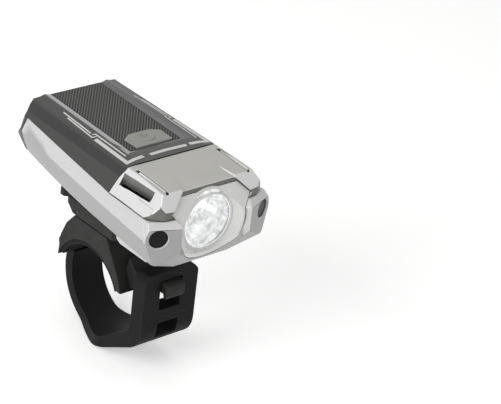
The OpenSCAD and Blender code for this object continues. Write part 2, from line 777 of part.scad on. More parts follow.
// Rail under the belly, drawn in the lamp frame
function to_lamp(z) = z - lamp_rise;
rail_a = rail_y0 + lamp_reach;
rail_b = rail_y1 + lamp_reach;
lever_half = 4.4;
notch_set = 0.8;
notch_y1 = rail_b - notch_set;
notch_y0 = notch_y1 - 2.4;
notch_half = lever_half + 0.4;
notch_depth = 1.1;
rail_lead = 2.4;
rail_screw_r = 1;
rail_screw_y = [rail_a + 5, rail_b - 9];
rail_head_r = 1.9;
rail_head_t = 1.2;
rail_screw_out = 6;
module at_rail_screws() {
    for (y = rail_screw_y) translate([0, y, keel_z(y) + wall]) children();
}
module slide_rail() {
    color("#353534") difference() {
        union() {
            block(-rail_half, rail_half, rail_a, rail_b, to_lamp(flange_z0), to_lamp(flange_z1));
            block(-neck_half, neck_half, rail_a, rail_b, to_lamp(flange_z1) - eps, 0);
        }
        outer_form();
        block(-notch_half, notch_half, notch_y0, notch_y1, -far, to_lamp(flange_z0) + notch_depth);
        both_sides() translate([rail_half, rail_a, to_lamp(flange_z0) - 1]) rotate([0, 0, 45])
            cube([rail_lead, rail_lead, far], center = true);
        for (y = rail_screw_y) translate([0, y, to_lamp(flange_z0) - 1]) {
            cylinder(r = rail_head_r + fit_gap, h = 1 + rail_head_t + fit_gap);
            cylinder(r = rail_screw_r + fit_gap, h = far);
        }
    }
}
module rail_screws() {
    color("#b4b4b1") for (y = rail_screw_y) translate([0, y, to_lamp(flange_z0) + fit_gap]) difference() {
        union() {
            cylinder(r = rail_head_r, h = rail_head_t);
            cylinder(r = rail_screw_r, h = keel_z(y) + wall - to_lamp(flange_z0) - fit_gap);
        }
        translate([0, 0, -eps]) cylinder(r = hex_r - eps, h = rail_head_t / 2 + eps, $fn = 6);
    }
}

// Cradle that swivels on the saddle and takes the rail
cradle_half = saddle_w / 2;
cradle_corner = 3;
cradle_rake = 3;
cradle_core = rail_half + run_gap + 0.6;
function cradle_side(low, high) = [[cradle_y0, floor_z0], [low, floor_z0], [high, flange_z1], [high, lip_z1],
    [cradle_y0, lip_z1]];
bore_z0 = arch_r + 2.6;
cradle_plan = both([[cradle_half - cradle_corner, cradle_y0], [cradle_half, cradle_y0 + cradle_corner],
    [cradle_half, cradle_y1 - cradle_corner], [cradle_half - cradle_corner, cradle_y1]]);
lever_pin_y = boss_r + 2.3;
lever_pin_d = 1.2;
lever_pin_z = floor_z0 + lever_pin_d;
lever_eye_d = 2.2;
washer_t = 1;
washer_rim = 1.6;
screw_d = 3;
screw_cap = 0.8;
module cradle() {
    color("#3c3c3b") difference() {
        union() {
            intersection() {
                plan_prism(cradle_plan, floor_z0, lip_z1);
                union() {
                    side_prism(cradle_side(cradle_y1 - cradle_rake, cradle_y1), 2 * cradle_core);
                    side_prism(cradle_side(cradle_y1 - 2 * cradle_rake, cradle_y1 - cradle_rake / 2));
                }
            }
            translate([0, 0, bore_z0]) cylinder(r = boss_r, h = floor_z0 - bore_z0 + eps);
        }
        block(-rail_half - run_gap, rail_half + run_gap, cradle_y0 - 1, cradle_y1 - stop_t, floor_z1, lip_z0);
        block(-neck_half - run_gap, neck_half + run_gap, cradle_y0 - 1, cradle_y1 + 1, floor_z1, far);
        block(-lever_half - run_gap, lever_half + run_gap,
              lever_pin_y - lever_eye_d / 2 - run_gap, cradle_y1 + 1,
              0, lip_z0 + run_gap);
        translate([0, lever_pin_y, lever_pin_z]) cross_rod(lever_pin_d, saddle_w + 2);
        cylinder(d = screw_d, h = floor_z1 - screw_cap);
    }
}
module lever_pin() {
    color("#d0d0ce") translate([0, lever_pin_y, lever_pin_z]) cross_rod(lever_pin_d, saddle_w - 4 * fit_gap);
}
lever_t = 1.2;
tab_half = 7.6;
tab_len = 5;
tab_y0 = cradle_y1 + 4.3;
tab_y1 = tab_y0 + tab_len;
tab_corner = 1.6;
tab_drop = 0.9;
tab_rise = 0.5;
grip_n = 3;
grip_pitch = 1.3;
grip_w = 0.6;
lever_z0 = floor_z0 + run_gap;
lever_z1 = lever_z0 + lever_t;
tooth_y0 = notch_y0 - lamp_reach + run_gap;
tooth_y1 = notch_y1 - lamp_reach - run_gap;
module release_lever() {
    color("#3a3a39") difference() {
        union() {
            translate([0, lever_pin_y, lever_pin_z]) cross_rod(lever_eye_d, 2 * lever_half);
            block(-lever_half, lever_half, lever_pin_y, tab_y1 - tab_corner, lever_z0, lever_z1);
            block(-lever_half, lever_half, tooth_y0, tooth_y1, lever_z0, flange_z0 - 2 * fit_gap);
            plan_prism(both([[tab_half - tab_corner, tab_y0], [tab_half, tab_y0 + tab_corner],
                [tab_half, tab_y1 - tab_corner], [tab_half - tab_corner, tab_y1]]),
                lever_z0 - tab_drop, lever_z1 + tab_rise);
        }
        translate([0, lever_pin_y, lever_pin_z]) cross_rod(lever_pin_d + 2 * fit_gap, saddle_w);
        for (i = [0 : grip_n - 1])
            translate([0, tab_y0 + tab_len / 2 + (i - 1) * grip_pitch, lever_z1 + tab_rise + eps])
                rotate([45, 0, 0])
                cube([2 * (tab_half - tab_corner), grip_w, grip_w], center = true);
    }
}
module swivel_washer() {
    color("#c6c6c4") difference() {
        translate([0, 0, bore_z0 - washer_t]) cylinder(r = boss_r + washer_rim, h = washer_t);
        translate([0, 0, bore_z0 - 2 * washer_t]) cylinder(d = screw_d + 2 * fit_gap, h = 3 * washer_t);
    }
}
module swivel_screw() {
    color("#b5b5b2") difference() {
        union() {
            translate([0, 0, arch_r + run_gap])
                cylinder(d = 2 * screw_d, h = bore_z0 - washer_t - arch_r - run_gap);
            translate([0, 0, arch_r + 2 * run_gap])
                cylinder(d = screw_d, h = floor_z1 - screw_cap - fit_gap - arch_r - 2 * run_gap);
        }
        translate([0, 0, arch_r]) cylinder(r = hex_r + run_gap, h = screw_d * 0.4, $fn = 6);
    }
}

// Saddle on the bar, with the strap's hook in front and its anchor pin behind
arch_a0 = 20;
arch_a1 = 154;
pad_half = saddle_w / 2 - run_gap;
pad_a0 = arch_a0 + 6;
strap_front = -(bar_r + strap_off + strap_pad_t);
strap_back = strap_front + strap_pad_t;
shoulder_half = 8;
shoulder_y = strap_back + run_gap + fit_gap;
tongue_half = hole_w / 2 - 2 * run_gap;
tongue_top = hook_z + 5.6;
tongue_t = 4;
claw_t = 1.7;
claw_y = strap_front - 2 * run_gap;
hole_z1 = tongue_top + 2 * run_gap;
hole_z0 = hook_z - 4.85;
anchor_r = bar_r + 4.4;
anchor_a = 24.5;
anchor = anchor_r * [cos(anchor_a), sin(anchor_a)];
pin_d = 2.6;
eye_r = 2.7;
lug_t = 2.5;
lug_r = eye_r - 0.2;
lug_back = 4;
lug_up = 6;
eye_half = strap_w_rear / 2;
saddle_rear = arch_r - 0.8;
saddle_side = [[-saddle_top * 0.35, saddle_top], [saddle_top * 0.39, saddle_top],
    [saddle_rear - 3.3, saddle_top - 4.4],
    [saddle_rear - 0.5, saddle_top - 10.4], [saddle_rear + 0.2, arch_r * sin(arch_a0)],
    [0, 0], arch_r * 1.02 * [cos(arch_a1), sin(arch_a1)], [-arch_r - 0.4, arch_r * 0.44],
    [-arch_r + 1.3, saddle_top - 11.8]];
hook_side = [[-arch_r + 4, tongue_top - tongue_t], [claw_y, tongue_top - tongue_t], [claw_y, hook_z + 1.2],
    [claw_y - 0.5, hook_z + 0.2], [claw_y - 1.2, hook_z], [claw_y - claw_t, hook_z + 0.7],
    [claw_y - claw_t - 0.3, hook_z + 2.6], [claw_y - claw_t + 0.1, hook_z + 4.5],
    [claw_y - 0.7, tongue_top - 0.4],
    [claw_y + 0.6, tongue_top], [-arch_r + 4, tongue_top]];
shoulder_side = [[-arch_r + 2, tongue_top + 4], [-arch_r - 1, tongue_top + 1], [shoulder_y, tongue_top],
    [shoulder_y, tongue_top - tongue_t - 1.6], [-arch_r, tongue_top - tongue_t - 2.4],
    [-arch_r + 4, tongue_top - tongue_t]];
module strap_holes() {
    block(-hole_w / 2, hole_w / 2, strap_front - 6, strap_back + 1, hole_z0, hole_z1);
    side_prism([turn_c, for (a = [low_hole_a - hole_turn, low_hole_a + hole_turn])
        turn_c - far * [cos(a), sin(a)]], hole_w);
    translate([0, turn_c[0], turn_c[1]]) rotate([run_a - 180, 0, 0]) for (i = [0 : 1])
        block(-hole_w / 2, hole_w / 2, -far, 0, next_hole - i * (hole_len + hole_web) - hole_len,
              next_hole - i * (hole_len + hole_web));
}
module saddle() {
    color("#424241") difference() {
        union() {
            side_prism(saddle_side, saddle_w);
            side_prism(shoulder_side, 2 * shoulder_half);
            side_prism(hook_side, 2 * tongue_half);
            both_sides() translate([0, anchor[0], anchor[1]]) {
                translate([eye_half + run_gap + lug_t / 2, 0, 0]) cross_rod(2 * lug_r, lug_t);
                block(eye_half + run_gap, eye_half + run_gap + lug_t, -lug_back, 0, -lug_r, lug_up);
            }
        }
        cross_rod(2 * arch_r, saddle_w + 2);
        translate([0, anchor[0], anchor[1]]) cross_rod(pin_d, 2 * saddle_w);
        block(-eye_half - run_gap, eye_half + run_gap, anchor[0] - eye_r - run_gap, far,
              -far, anchor[1] + eye_r + run_gap);
        cylinder(r = boss_r + run_gap, h = far);
        cylinder(r = boss_r + washer_rim + run_gap, h = bore_z0 + fit_gap);
    }
}

module bar_pad() {
    color("#1f1f1f") difference() {
        cross_rod(2 * arch_r, 2 * pad_half);
        cross_rod(2 * bar_r, saddle_w + 2);
        side_prism(concat([[0, 0]], arc([0, 0], far, arch_a1, 360 + pad_a0, 12)));
    }
}
module strap_pin() {
    color("#c8c8c6") translate([0, anchor[0], anchor[1]])
        cross_rod(pin_d - 2 * fit_gap, 2 * (eye_half + run_gap + lug_t - 2 * fit_gap));
}

// Strap: from its eye behind the bar, under the bar, to the front pad with its holes
turn_r = 9;
turn_c = [strap_front + turn_r, -2];
strap_in = bar_r + run_gap;
// Hinge line of the free end, in the web under the hook's hole
peel_z = hole_z0 - hole_web * 0.6;
taper_y = [-4, 9];
// The hole in the turn and those in the run to the bar: their turns and their place along the run
hole_turn = asin(hole_len / 2 / turn_r);
low_hole_a = hole_turn - asin((hole_z0 - hole_web - turn_c[1]) / turn_r);
run_a = tangent_angle(strap_in + strap_t, turn_r);
next_hole = (run_a - 180 - low_hole_a - hole_turn) * PI / 180 * turn_r - hole_web;
pad_corner = 2;
top_corner = 3.4;
function tangent_angle(r1, r2) = let (d = norm(turn_c), a = atan2(turn_c[1], turn_c[0]))
    (a < 0 ? a + 360 : a) + acos((r1 - r2) / d);
function belt(r1, r2) = let (a = tangent_angle(r1, r2))
    concat(arc([0, 0], r1, 360 + anchor_a - 5, a, 16), arc(turn_c, r2, a, 180, 8));
function reversed(v) = [for (i = [len(v) - 1 : -1 : 0]) v[i]];
band_outline = concat(belt(strap_in + strap_t, turn_r), [[strap_front, strap_top]],
    [[strap_back, strap_top]], reversed(belt(strap_in, turn_r - strap_pad_t)));
module strap_band() {
    difference() {
        intersection() {
            side_prism(band_outline, strap_w);
            plan_prism(both([[strap_w / 2, strap_front - 1], [strap_w / 2, taper_y[0]], [eye_half, taper_y[1]],
                [eye_half, 2 * bar_r]]));
        }
        strap_holes();
        both_sides() translate([strap_w / 2, strap_front, 0]) rotate([0, 0, 45])
            cube([pad_corner, pad_corner, far], center = true);
        both_sides() translate([strap_w / 2, 0, strap_top]) rotate([0, 45, 0])
            cube([top_corner, far * 2, top_corner], center = true);
    }
}
module strap() {
    color("#282828") difference() {
        union() {
            intersection() {
                strap_band();
                union() {
                    block(-far, far, -far, 0, -far, peel_z - run_gap / 2);
                    block(-far, far, 0, far, -far, far);
                }
            }
            translate([0, anchor[0], anchor[1]]) cross_rod(2 * eye_r, 2 * eye_half);
        }
        translate([0, anchor[0], anchor[1]]) cross_rod(pin_d, 2 * saddle_w);
    }
}
module strap_tail() {
    color("#2a2a2a") intersection() {
        strap_band();
        block(-far, far, -far, 0, peel_z + run_gap / 2, far);
    }
}

at_lamp() top_cover();
at_lamp() deck_panel();
at_lamp() power_button();
at_lamp() front_bezel();
at_lamp() lower_shell();
at_lamp() lens_collar();
at_lamp() lens();
at_lamp() lens_gasket();
at_lamp() led();
at_lamp() led_board();
at_lamp() heat_sink();
at_lamp() side_windows();
at_lamp() side_leds();
at_lamp() battery_pouch();
at_lamp() control_board();
at_lamp() tact_switch();
at_lamp() usb_socket();
at_lamp() usb_cover();
at_lamp() case_screws();
at_lamp() slide_rail();
at_lamp() rail_screws();
cradle();
release_lever();
lever_pin();
swivel_screw();
swivel_washer();
saddle();
bar_pad();
strap();
strap_tail();
strap_pin();
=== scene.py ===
"""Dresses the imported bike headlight: finishes for its moulded shells, light engine and bracket, the rubber
strap, pad and charging flap as soft mouldings, the deck's printed trim, the button's sign and a studio."""

import math

import bmesh
import bpy
from bpy.props import FloatProperty, FloatVectorProperty, PointerProperty
from mathutils import Matrix, Vector
from mathutils.bvhtree import BVHTree


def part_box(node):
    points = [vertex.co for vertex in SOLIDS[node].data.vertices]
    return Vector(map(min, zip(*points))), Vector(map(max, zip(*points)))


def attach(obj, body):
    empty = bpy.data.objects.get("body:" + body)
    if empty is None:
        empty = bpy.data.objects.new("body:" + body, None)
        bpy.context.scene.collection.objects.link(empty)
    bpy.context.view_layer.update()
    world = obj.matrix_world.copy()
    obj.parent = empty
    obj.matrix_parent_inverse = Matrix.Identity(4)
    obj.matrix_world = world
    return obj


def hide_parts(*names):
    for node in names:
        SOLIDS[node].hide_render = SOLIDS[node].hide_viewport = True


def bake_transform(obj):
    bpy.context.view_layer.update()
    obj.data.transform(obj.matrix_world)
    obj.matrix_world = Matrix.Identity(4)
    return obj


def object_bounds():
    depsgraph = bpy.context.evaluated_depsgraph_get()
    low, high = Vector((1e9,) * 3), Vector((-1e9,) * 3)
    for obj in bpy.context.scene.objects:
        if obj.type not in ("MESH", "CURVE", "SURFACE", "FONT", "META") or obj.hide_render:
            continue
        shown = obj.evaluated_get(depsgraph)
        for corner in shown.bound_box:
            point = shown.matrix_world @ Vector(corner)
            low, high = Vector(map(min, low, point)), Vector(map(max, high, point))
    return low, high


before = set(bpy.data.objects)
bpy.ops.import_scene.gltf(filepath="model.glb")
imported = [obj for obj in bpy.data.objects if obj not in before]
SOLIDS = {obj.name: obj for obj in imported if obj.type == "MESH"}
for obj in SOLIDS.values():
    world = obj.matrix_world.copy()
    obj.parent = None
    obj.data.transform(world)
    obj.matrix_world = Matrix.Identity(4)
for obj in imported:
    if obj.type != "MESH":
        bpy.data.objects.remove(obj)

bl_info = {
    "name": "Bike headlight finish",
    "version": (1, 0, 0),
    "blender": (4, 5, 0),
    "location": "View3D > Sidebar > Headlight",
    "description": "Finishes the headlight's shells, optics, bracket and strap over its solid model",
    "category": "Object",
}

MM = 0.001
CAD_BOX = [list(corner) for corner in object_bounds()]
LENS_LOW, LENS_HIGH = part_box("lens")
# The lamp's own zero, which its trim is measured from: on the optical axis, 1 mm ahead of the lens
LAMP = Vector((0, LENS_LOW.y - 1 * MM, (LENS_LOW.z + LENS_HIGH.z) / 2))
# The cover in millimetres from that zero: foot of its band of painted shade, height of the deck's edge, rise
# of that edge for each millimetre towards the stern, and half the width inside the chamfer round the panel
BAND_FOOT = 10.3
DECK_EDGE = 13.6
DECK_RISE = 1.5 / 78
PANEL_HALF = 13.05
# The strap's rows: how many round the bar, then shares of the straight run, shares of the turn and heights
# on the front pad in millimetres, each with whether a hole opens between it and the row before
ARC_ROWS = 19
RUN_ROWS = ((0, True), (0.342, True), (0.5, False), (0.649, False), (0.82, True), (1, True))
TURN_ROWS = ((0.04, True), (0.2, False), (0.37, False), (0.548, False), (0.7, True), (0.85, True), (1, True))
PAD_ROWS = ((-0.25, True), (0.3, False), (0.85, False), (1.4, False), (1.95, False), (2.5, False),
            (3.1, False), (3.8, False), (4.65, False), (6.5, True), (8.5, True), (10.5, True), (12.5, True),
            (14.2, True), (15.7, True), (16.6, False), (17.7, False), (18.7, False))


def linear(text):
    """A colour written in hex, as linear red, green, blue and alpha."""
    parts = [int(text[i:i + 2], 16) / 255 for i in (1, 3, 5)]
    return tuple(p / 12.92 if p <= 0.04045 else ((p + 0.055) / 1.055) ** 2.4 for p in parts) + (1.0,)


def colour(text, label, use):
    """A colour that the user may change."""
    return FloatVectorProperty(name=label, description=use, subtype="COLOR", size=4, min=0, max=1,
                               default=linear(text))


def length(value, label, use):
    """A length that the user may change, given in millimetres."""
    return FloatProperty(name=label, description=use, default=value * MM, min=0, unit="LENGTH", precision=5)


def amount(value, label, use, unit="NONE"):
    """A strength or power that the user may change."""
    return FloatProperty(name=label, description=use, default=value, min=0, unit=unit)


class HeadlightFinish(bpy.types.PropertyGroup):
    """Colours of the moulded pieces."""
    shell: colour("#c8c8c8", "Tub", "Silver paint of the lower shell")
    cover: colour("#323231", "Cover", "Black of the top cover")
    bezel: colour("#b3b2ad", "Bezel", "Grey paint of the front bezel")
    collar: colour("#dcdcda", "Collar", "Bright collar round the lens")
    button: colour("#8f8f8b", "Button", "Grey rubber of the power button")
    bracket: colour("#252524", "Bracket", "Black nylon of the saddle and cradle")
    rubber: colour("#131313", "Rubber", "Black rubber of strap, pad and flap")
    trim: colour("#cfcecb", "Trim", "Pale print of the deck's trim lines")
    edge: length(0.25, "Edge", "Radius that breaks the moulded edges")


class HeadlightDeck(bpy.types.PropertyGroup):
    """Sizes of the deck's print, weave and sign."""
    twill: length(0.9, "Twill", "Distance between the ribs of the woven panel")
    twill_turn: FloatProperty(name="Twill turn", description="Angle of the ribs to the lamp's length",
                              default=math.radians(40), subtype="ANGLE")
    trim_thin: length(0.5, "Thin trim", "Width of the thin trim lines")
    trim_thick: length(1.4, "Thick trim", "Width of the thick trim lines and dashes")
    trim_proud: length(0.04, "Trim height", "How far the print stands over the deck")
    sign: length(2.3, "Sign", "Radius of the power sign")
    sign_line: length(0.85, "Sign line", "Width of the power sign's line")


class HeadlightStrap(bpy.types.PropertyGroup):
    """Sizes of the rubber strap, as the solid has them."""
    bar_radius: length(15.9, "Bar", "Radius of the bar that the strap goes round")
    gap: length(0.3, "Gap", "Play between strap and bar")
    thick: length(3.8, "Thickness", "Thickness round the bar")
    pad: length(6.0, "Front pad", "Thickness of the front pad")
    front: length(28.3, "Front", "Distance of the front face from the bar's axis")
    turn: length(9.0, "Turn", "Outer radius of the turn under the front pad")
    wide: length(22.0, "Width", "Width of the front pad")
    narrow: length(13.0, "Rear width", "Width behind the bar")
    hole: length(8.8, "Hole", "Width of the holes")
    rib: length(0.75, "Ribs", "Distance between the fine ribs of the turn")
    soft: length(0.8, "Edge", "Radius of the rubber's edges")


class HeadlightStage(bpy.types.PropertyGroup):
    """Light and floor."""
    floor: colour("#f4f4f3", "Floor", "Colour of the floor")
    sky: amount(0.36, "Sky", "Strength of the light from all round")
    key: amount(4.0, "Key", "Power of the soft light at the left", "POWER")
    fill: amount(1.3, "Fill", "Power of the soft light ahead", "POWER")
    top: amount(1.0, "Top", "Power of the soft light overhead", "POWER")
    glow: amount(0.4, "Glow", "How much whiter the floor looks than it is lit")


# Materials

def add(tree, kind, settings=None, links=None):
    """Adds a node. Keys in small letters are its own settings, the others its sockets."""
    node = tree.nodes.new(kind)
    for key, value in (settings or {}).items():
        if isinstance(key, str) and key[0].islower():
            setattr(node, key, value)
        else:
            node.inputs[key].default_value = value
    for key, source in (links or {}).items():
        tree.links.new(source, node.inputs[key])
    return node


def start(name, settings):
    """A new material with its shader; returns material, tree, shader and Object coordinates."""
    material = bpy.data.materials.new(name)
    material.use_nodes = True
    tree = material.node_tree
    tree.nodes.clear()
    shader = add(tree, "ShaderNodeBsdfPrincipled", settings)
    add(tree, "ShaderNodeOutputMaterial", None, {"Surface": shader.outputs[0]})
    place = add(tree, "ShaderNodeTexCoord").outputs["Object"]
    return material, tree, shader, place


def shade(tone, share):
    """A colour made darker or lighter by a share of itself."""
    return tuple(min(1.0, c * share) for c in tone[:3]) + (1.0,)


def grit(tree, place, size, detail=2.0):
    """Noise whose grains are about that many millimetres apart."""
    return add(tree, "ShaderNodeTexNoise", {"Scale": 1 / (size * MM), "Detail": detail, "Roughness": 0.6},
               {"Vector": place}).outputs["Fac"]


def worn_and_highlit_edge(tree, radius):
    """How close a point is to an outer edge, from 0 on a flat to 1 on the edge: the share of lighter, worn
    edges and painted highlight.
    """
    rounded = add(tree, "ShaderNodeBevel", {"samples": 6, "Radius": radius * MM}).outputs["Normal"]
    flat = add(tree, "ShaderNodeNewGeometry").outputs["True Normal"]
    match = add(tree, "ShaderNodeVectorMath", {"operation": "DOT_PRODUCT"}, {0: rounded, 1: flat})
    return add(tree, "ShaderNodeMapRange", {"From Min": 0.985, "From Max": 0.8},
               {"Value": match.outputs["Value"]}).outputs["Result"]


def facing(tree, way, none, full):
    """How far the piece's skin looks a way, from 0 at one cosine to 1 at another."""
    skin = add(tree, "ShaderNodeTexCoord").outputs["Normal"]
    match = add(tree, "ShaderNodeVectorMath", {"operation": "DOT_PRODUCT", 1: way}, {0: skin})
    return add(tree, "ShaderNodeMapRange", {"From Min": none, "From Max": full},
               {"Value": match.outputs["Value"]}).outputs["Result"]


def crevice(tree, reach):
    """How deep a point lies in a seam or groove, from 0 in the open to 1 well inside: the share of painted
    shade there.
    """
    sky = add(tree, "ShaderNodeAmbientOcclusion", {"samples": 8, "Distance": reach * MM}).outputs["AO"]
    return add(tree, "ShaderNodeMapRange", {"From Min": 0.7, "From Max": 0.3},
               {"Value": sky}).outputs["Result"]


def toned(tree, base, share, tone):
    """Lays a tone over a colour, or over what another node gives, by a share."""
    settings, links = {"data_type": "RGBA", 7: tone}, {0: share}
    (links if isinstance(base, bpy.types.NodeSocket) else settings)[6] = base
    return add(tree, "ShaderNodeMix", settings, links).outputs[2]


def dress(tree, shader, tinted, shine, rough, relief=None, strength=0.0, depth=0.0, span=(0.0, 1.0)):
    """Links a shader's colour, its roughness between two values over a span of a mask, and a bump so many
    millimetres deep. Returns roughness and normal, for what may be laid over them."""
    tree.links.new(tinted, shader.inputs["Base Color"])
    gloss = add(tree, "ShaderNodeMapRange", {"From Min": span[0], "From Max": span[1], "To Min": rough[0],
                                             "To Max": rough[1]}, {"Value": shine}).outputs["Result"]
    tree.links.new(gloss, shader.inputs["Roughness"])
    if relief is None:
        return gloss, None
    normal = add(tree, "ShaderNodeBump", {"Strength": strength, "Distance": depth * MM},
                 {"Height": relief}).outputs["Normal"]
    tree.links.new(normal, shader.inputs["Normal"])
    return gloss, normal


def moulded(name, tone, rough, grain, depth, edge=1.0, settings=None, seam_shade=0.3):
    """A moulded or painted plastic: faint mottling, shiny patches, the tool's grain, lighter worn edges with
    a painted highlight and painted shade in its seams.
    """
    material, tree, shader, place = start(name, settings)
    tinted = toned(tree, shade(tone, 0.93), grit(tree, place, 9, 3), shade(tone, 1.06))
    if edge != 1.0:
        # Lighter worn edges with a painted highlight, and painted shade in the seams
        tinted = toned(tree, tinted, worn_and_highlit_edge(tree, 0.35), shade(tone, edge))
        tinted = toned(tree, tinted, crevice(tree, 0.8), shade(tone, seam_shade))
    dress(tree, shader, tinted, grit(tree, place, 4), (rough - 0.05, rough + 0.06), grit(tree, place, grain),
          0.5, depth, (0.35, 0.65))
    return material


def silver_paint(tone):
    """Silver paint on ABS: fine flakes that glint under a thin clear coat, with painted shade where the
    faces look down or ahead, lighter worn edges with a painted highlight, and painted shade in the seams."""
    material, tree, shader, place = start("silver_paint_on_abs", {"Metallic": 0.2, "Coat Weight": 0.15,
                                                                  "Coat Roughness": 0.2})
    # Flakes are about 0.05 mm; drawn at 0.3 mm so that they show
    flakes = add(tree, "ShaderNodeTexVoronoi", {"Scale": 1 / (0.3 * MM)}, {"Vector": place}).outputs["Color"]
    glint = add(tree, "ShaderNodeRGBToBW", None, {"Color": flakes}).outputs["Val"]
    tinted = toned(tree, shade(tone, 0.94), glint, shade(tone, 1.07))
    # Painted shade on faces that look down or ahead, a painted highlight on worn edges, painted shade in the
    # seams
    tinted = toned(tree, tinted, facing(tree, (0, 0, -1), 0.08, 0.2), shade(tone, 0.58))
    tinted = toned(tree, tinted, facing(tree, (0, -1, 0), 0.8, 0.9), shade(tone, 0.6))
    tinted = toned(tree, tinted, worn_and_highlit_edge(tree, 0.4), shade(tone, 1.3))
    tinted = toned(tree, tinted, crevice(tree, 1.2), shade(tone, 0.22))
    dress(tree, shader, tinted, grit(tree, place, 5), (0.33, 0.45), grit(tree, place, 0.9), 0.25, 0.01)
    return material


def cover_abs(tone):
    """Black ABS: fine spark-eroded grain, a band of painted shade under the deck's edge, lighter worn edges
    with a painted highlight, and a polished chamfer round the panel that is also painted darker as shade."""
    material, tree, shader, place = start("spark_eroded_abs", {"Specular IOR Level": 0.5,
                                                               "Coat Roughness": 0.12, "Coat IOR": 1.6})
    axes = add(tree, "ShaderNodeSeparateXYZ", None, {0: place})
    # Height, less what the deck's edge rises by on its way to the stern
    under = add(tree, "ShaderNodeMath", {"operation": "MULTIPLY_ADD", 1: -DECK_RISE},
                {0: axes.outputs["Y"], 2: axes.outputs["Z"]}).outputs[0]
    foot = LAMP.z + BAND_FOOT * MM
    edge = LAMP.z + DECK_EDGE * MM - LAMP.y * DECK_RISE
    low = add(tree, "ShaderNodeMapRange", {"From Min": foot, "From Max": foot + 0.3 * MM},
              {"Value": axes.outputs["Z"]}).outputs["Result"]
    high = add(tree, "ShaderNodeMapRange", {"From Min": edge - 0.5 * MM, "From Max": edge - 1.0 * MM},
               {"Value": under}).outputs["Result"]
    band = add(tree, "ShaderNodeMath", {"operation": "MULTIPLY"}, {0: low, 1: high}).outputs[0]
    tinted = toned(tree, shade(tone, 0.9), grit(tree, place, 9, 3), shade(tone, 1.1))
    # Painted shade in the band under the deck's edge, and lighter worn edges with a painted highlight
    tinted = toned(tree, tinted, band, shade(tone, 0.3))
    tinted = toned(tree, tinted, worn_and_highlit_edge(tree, 0.3), shade(tone, 1.5))
    # The chamfer mirrors the bright surroundings where it is seen at a low angle
    sides = add(tree, "ShaderNodeMath", {"operation": "ABSOLUTE"}, {0: axes.outputs["X"]}).outputs[0]
    inner = add(tree, "ShaderNodeMath", {"operation": "LESS_THAN", 1: PANEL_HALF * MM}, {0: sides})
    sheen = add(tree, "ShaderNodeMath", {"operation": "MULTIPLY"},
                {0: inner.outputs[0], 1: facing(tree, (0, 0, 1), 0.995, 0.989)}).outputs[0]
    # The chamfer is painted darker: painted shade, for its wall that looks away from the light
    tinted = toned(tree, tinted, sheen, shade(tone, 0.2))
    gloss, _ = dress(tree, shader, tinted, grit(tree, place, 4), (0.33, 0.44), grit(tree, place, 0.45),
                     0.4, 0.015)
    polished = add(tree, "ShaderNodeMath", {"operation": "MULTIPLY_ADD", 1: -0.2}, {0: sheen, 2: gloss})
    tree.links.new(polished.outputs[0], shader.inputs["Roughness"])
    tree.links.new(sheen, shader.inputs["Coat Weight"])
    return material


def bezel_paint(tone, cheek):
    """Satin grey paint on ABS: smooth, with the tub's silver on its slopes as a painted highlight, painted
    shade on steep walls and in slots, and lighter worn edges with a painted highlight.
    """
    material, tree, shader, place = start("satin_grey_paint", {"Metallic": 0.25})
    tinted = toned(tree, shade(tone, 0.94), grit(tree, place, 8, 3), shade(tone, 1.05))
    # The slopes take the tub's silver, lighter still: a painted highlight where they face the light
    tinted = toned(tree, tinted, facing(tree, (0, 0, 1), 0.86, 0.72), shade(cheek, 1.15))
    # Steep walls darker: painted shade
    tinted = toned(tree, tinted, facing(tree, (0, 0, -1), -0.35, -0.15), shade(tone, 0.3))
    # Lighter worn edges with a painted highlight, and deep painted shade in the slots
    tinted = toned(tree, tinted, worn_and_highlit_edge(tree, 0.35), shade(tone, 1.6))
    tinted = toned(tree, tinted, crevice(tree, 5), shade(tone, 0.12))
    dress(tree, shader, tinted, grit(tree, place, 4), (0.33, 0.43), grit(tree, place, 0.7), 0.3, 0.008)
    return material


def twill_film(deck):
    """Moulded twill: slanting ribs of short dashes, dark between them, satin on top."""
    material, tree, shader, place = start("twill_inlay", {"Specular IOR Level": 0.3})
    turned = add(tree, "ShaderNodeMapping", {"Rotation": (0, 0, deck.twill_turn)}, {"Vector": place})
    axes = add(tree, "ShaderNodeSeparateXYZ", None, {0: turned.outputs[0]})
    across, along = [add(tree, "ShaderNodeMath", {"operation": "MULTIPLY", 1: 2 * math.pi / pitch},
                         {0: axes.outputs[axis]}).outputs[0]
                     for axis, pitch in (("X", deck.twill), ("Y", deck.twill * 1.6))]
    # Every other rib has its dashes half a dash further on, as floats of a twill have
    lag = add(tree, "ShaderNodeMath", {"operation": "MULTIPLY_ADD", 1: 0.5}, {0: across, 2: along})
    rib = add(tree, "ShaderNodeMath", {"operation": "COSINE"}, {0: across})
    dash = add(tree, "ShaderNodeMath", {"operation": "COSINE"}, {0: lag.outputs[0]})
    height = add(tree, "ShaderNodeMath", {"operation": "MULTIPLY_ADD", 1: 0.45},
                 {0: dash.outputs[0], 2: rib.outputs[0]}).outputs[0]
    share = add(tree, "ShaderNodeMapRange", {"interpolation_type": "SMOOTHSTEP", "From Min": -0.5,
                                             "From Max": 1.0}, {"Value": height}).outputs["Result"]
    tinted = toned(tree, linear("#131313"), share, linear("#585855"))
    dress(tree, shader, tinted, share, (0.6, 0.42), share, 0.7, 0.12)
    return material


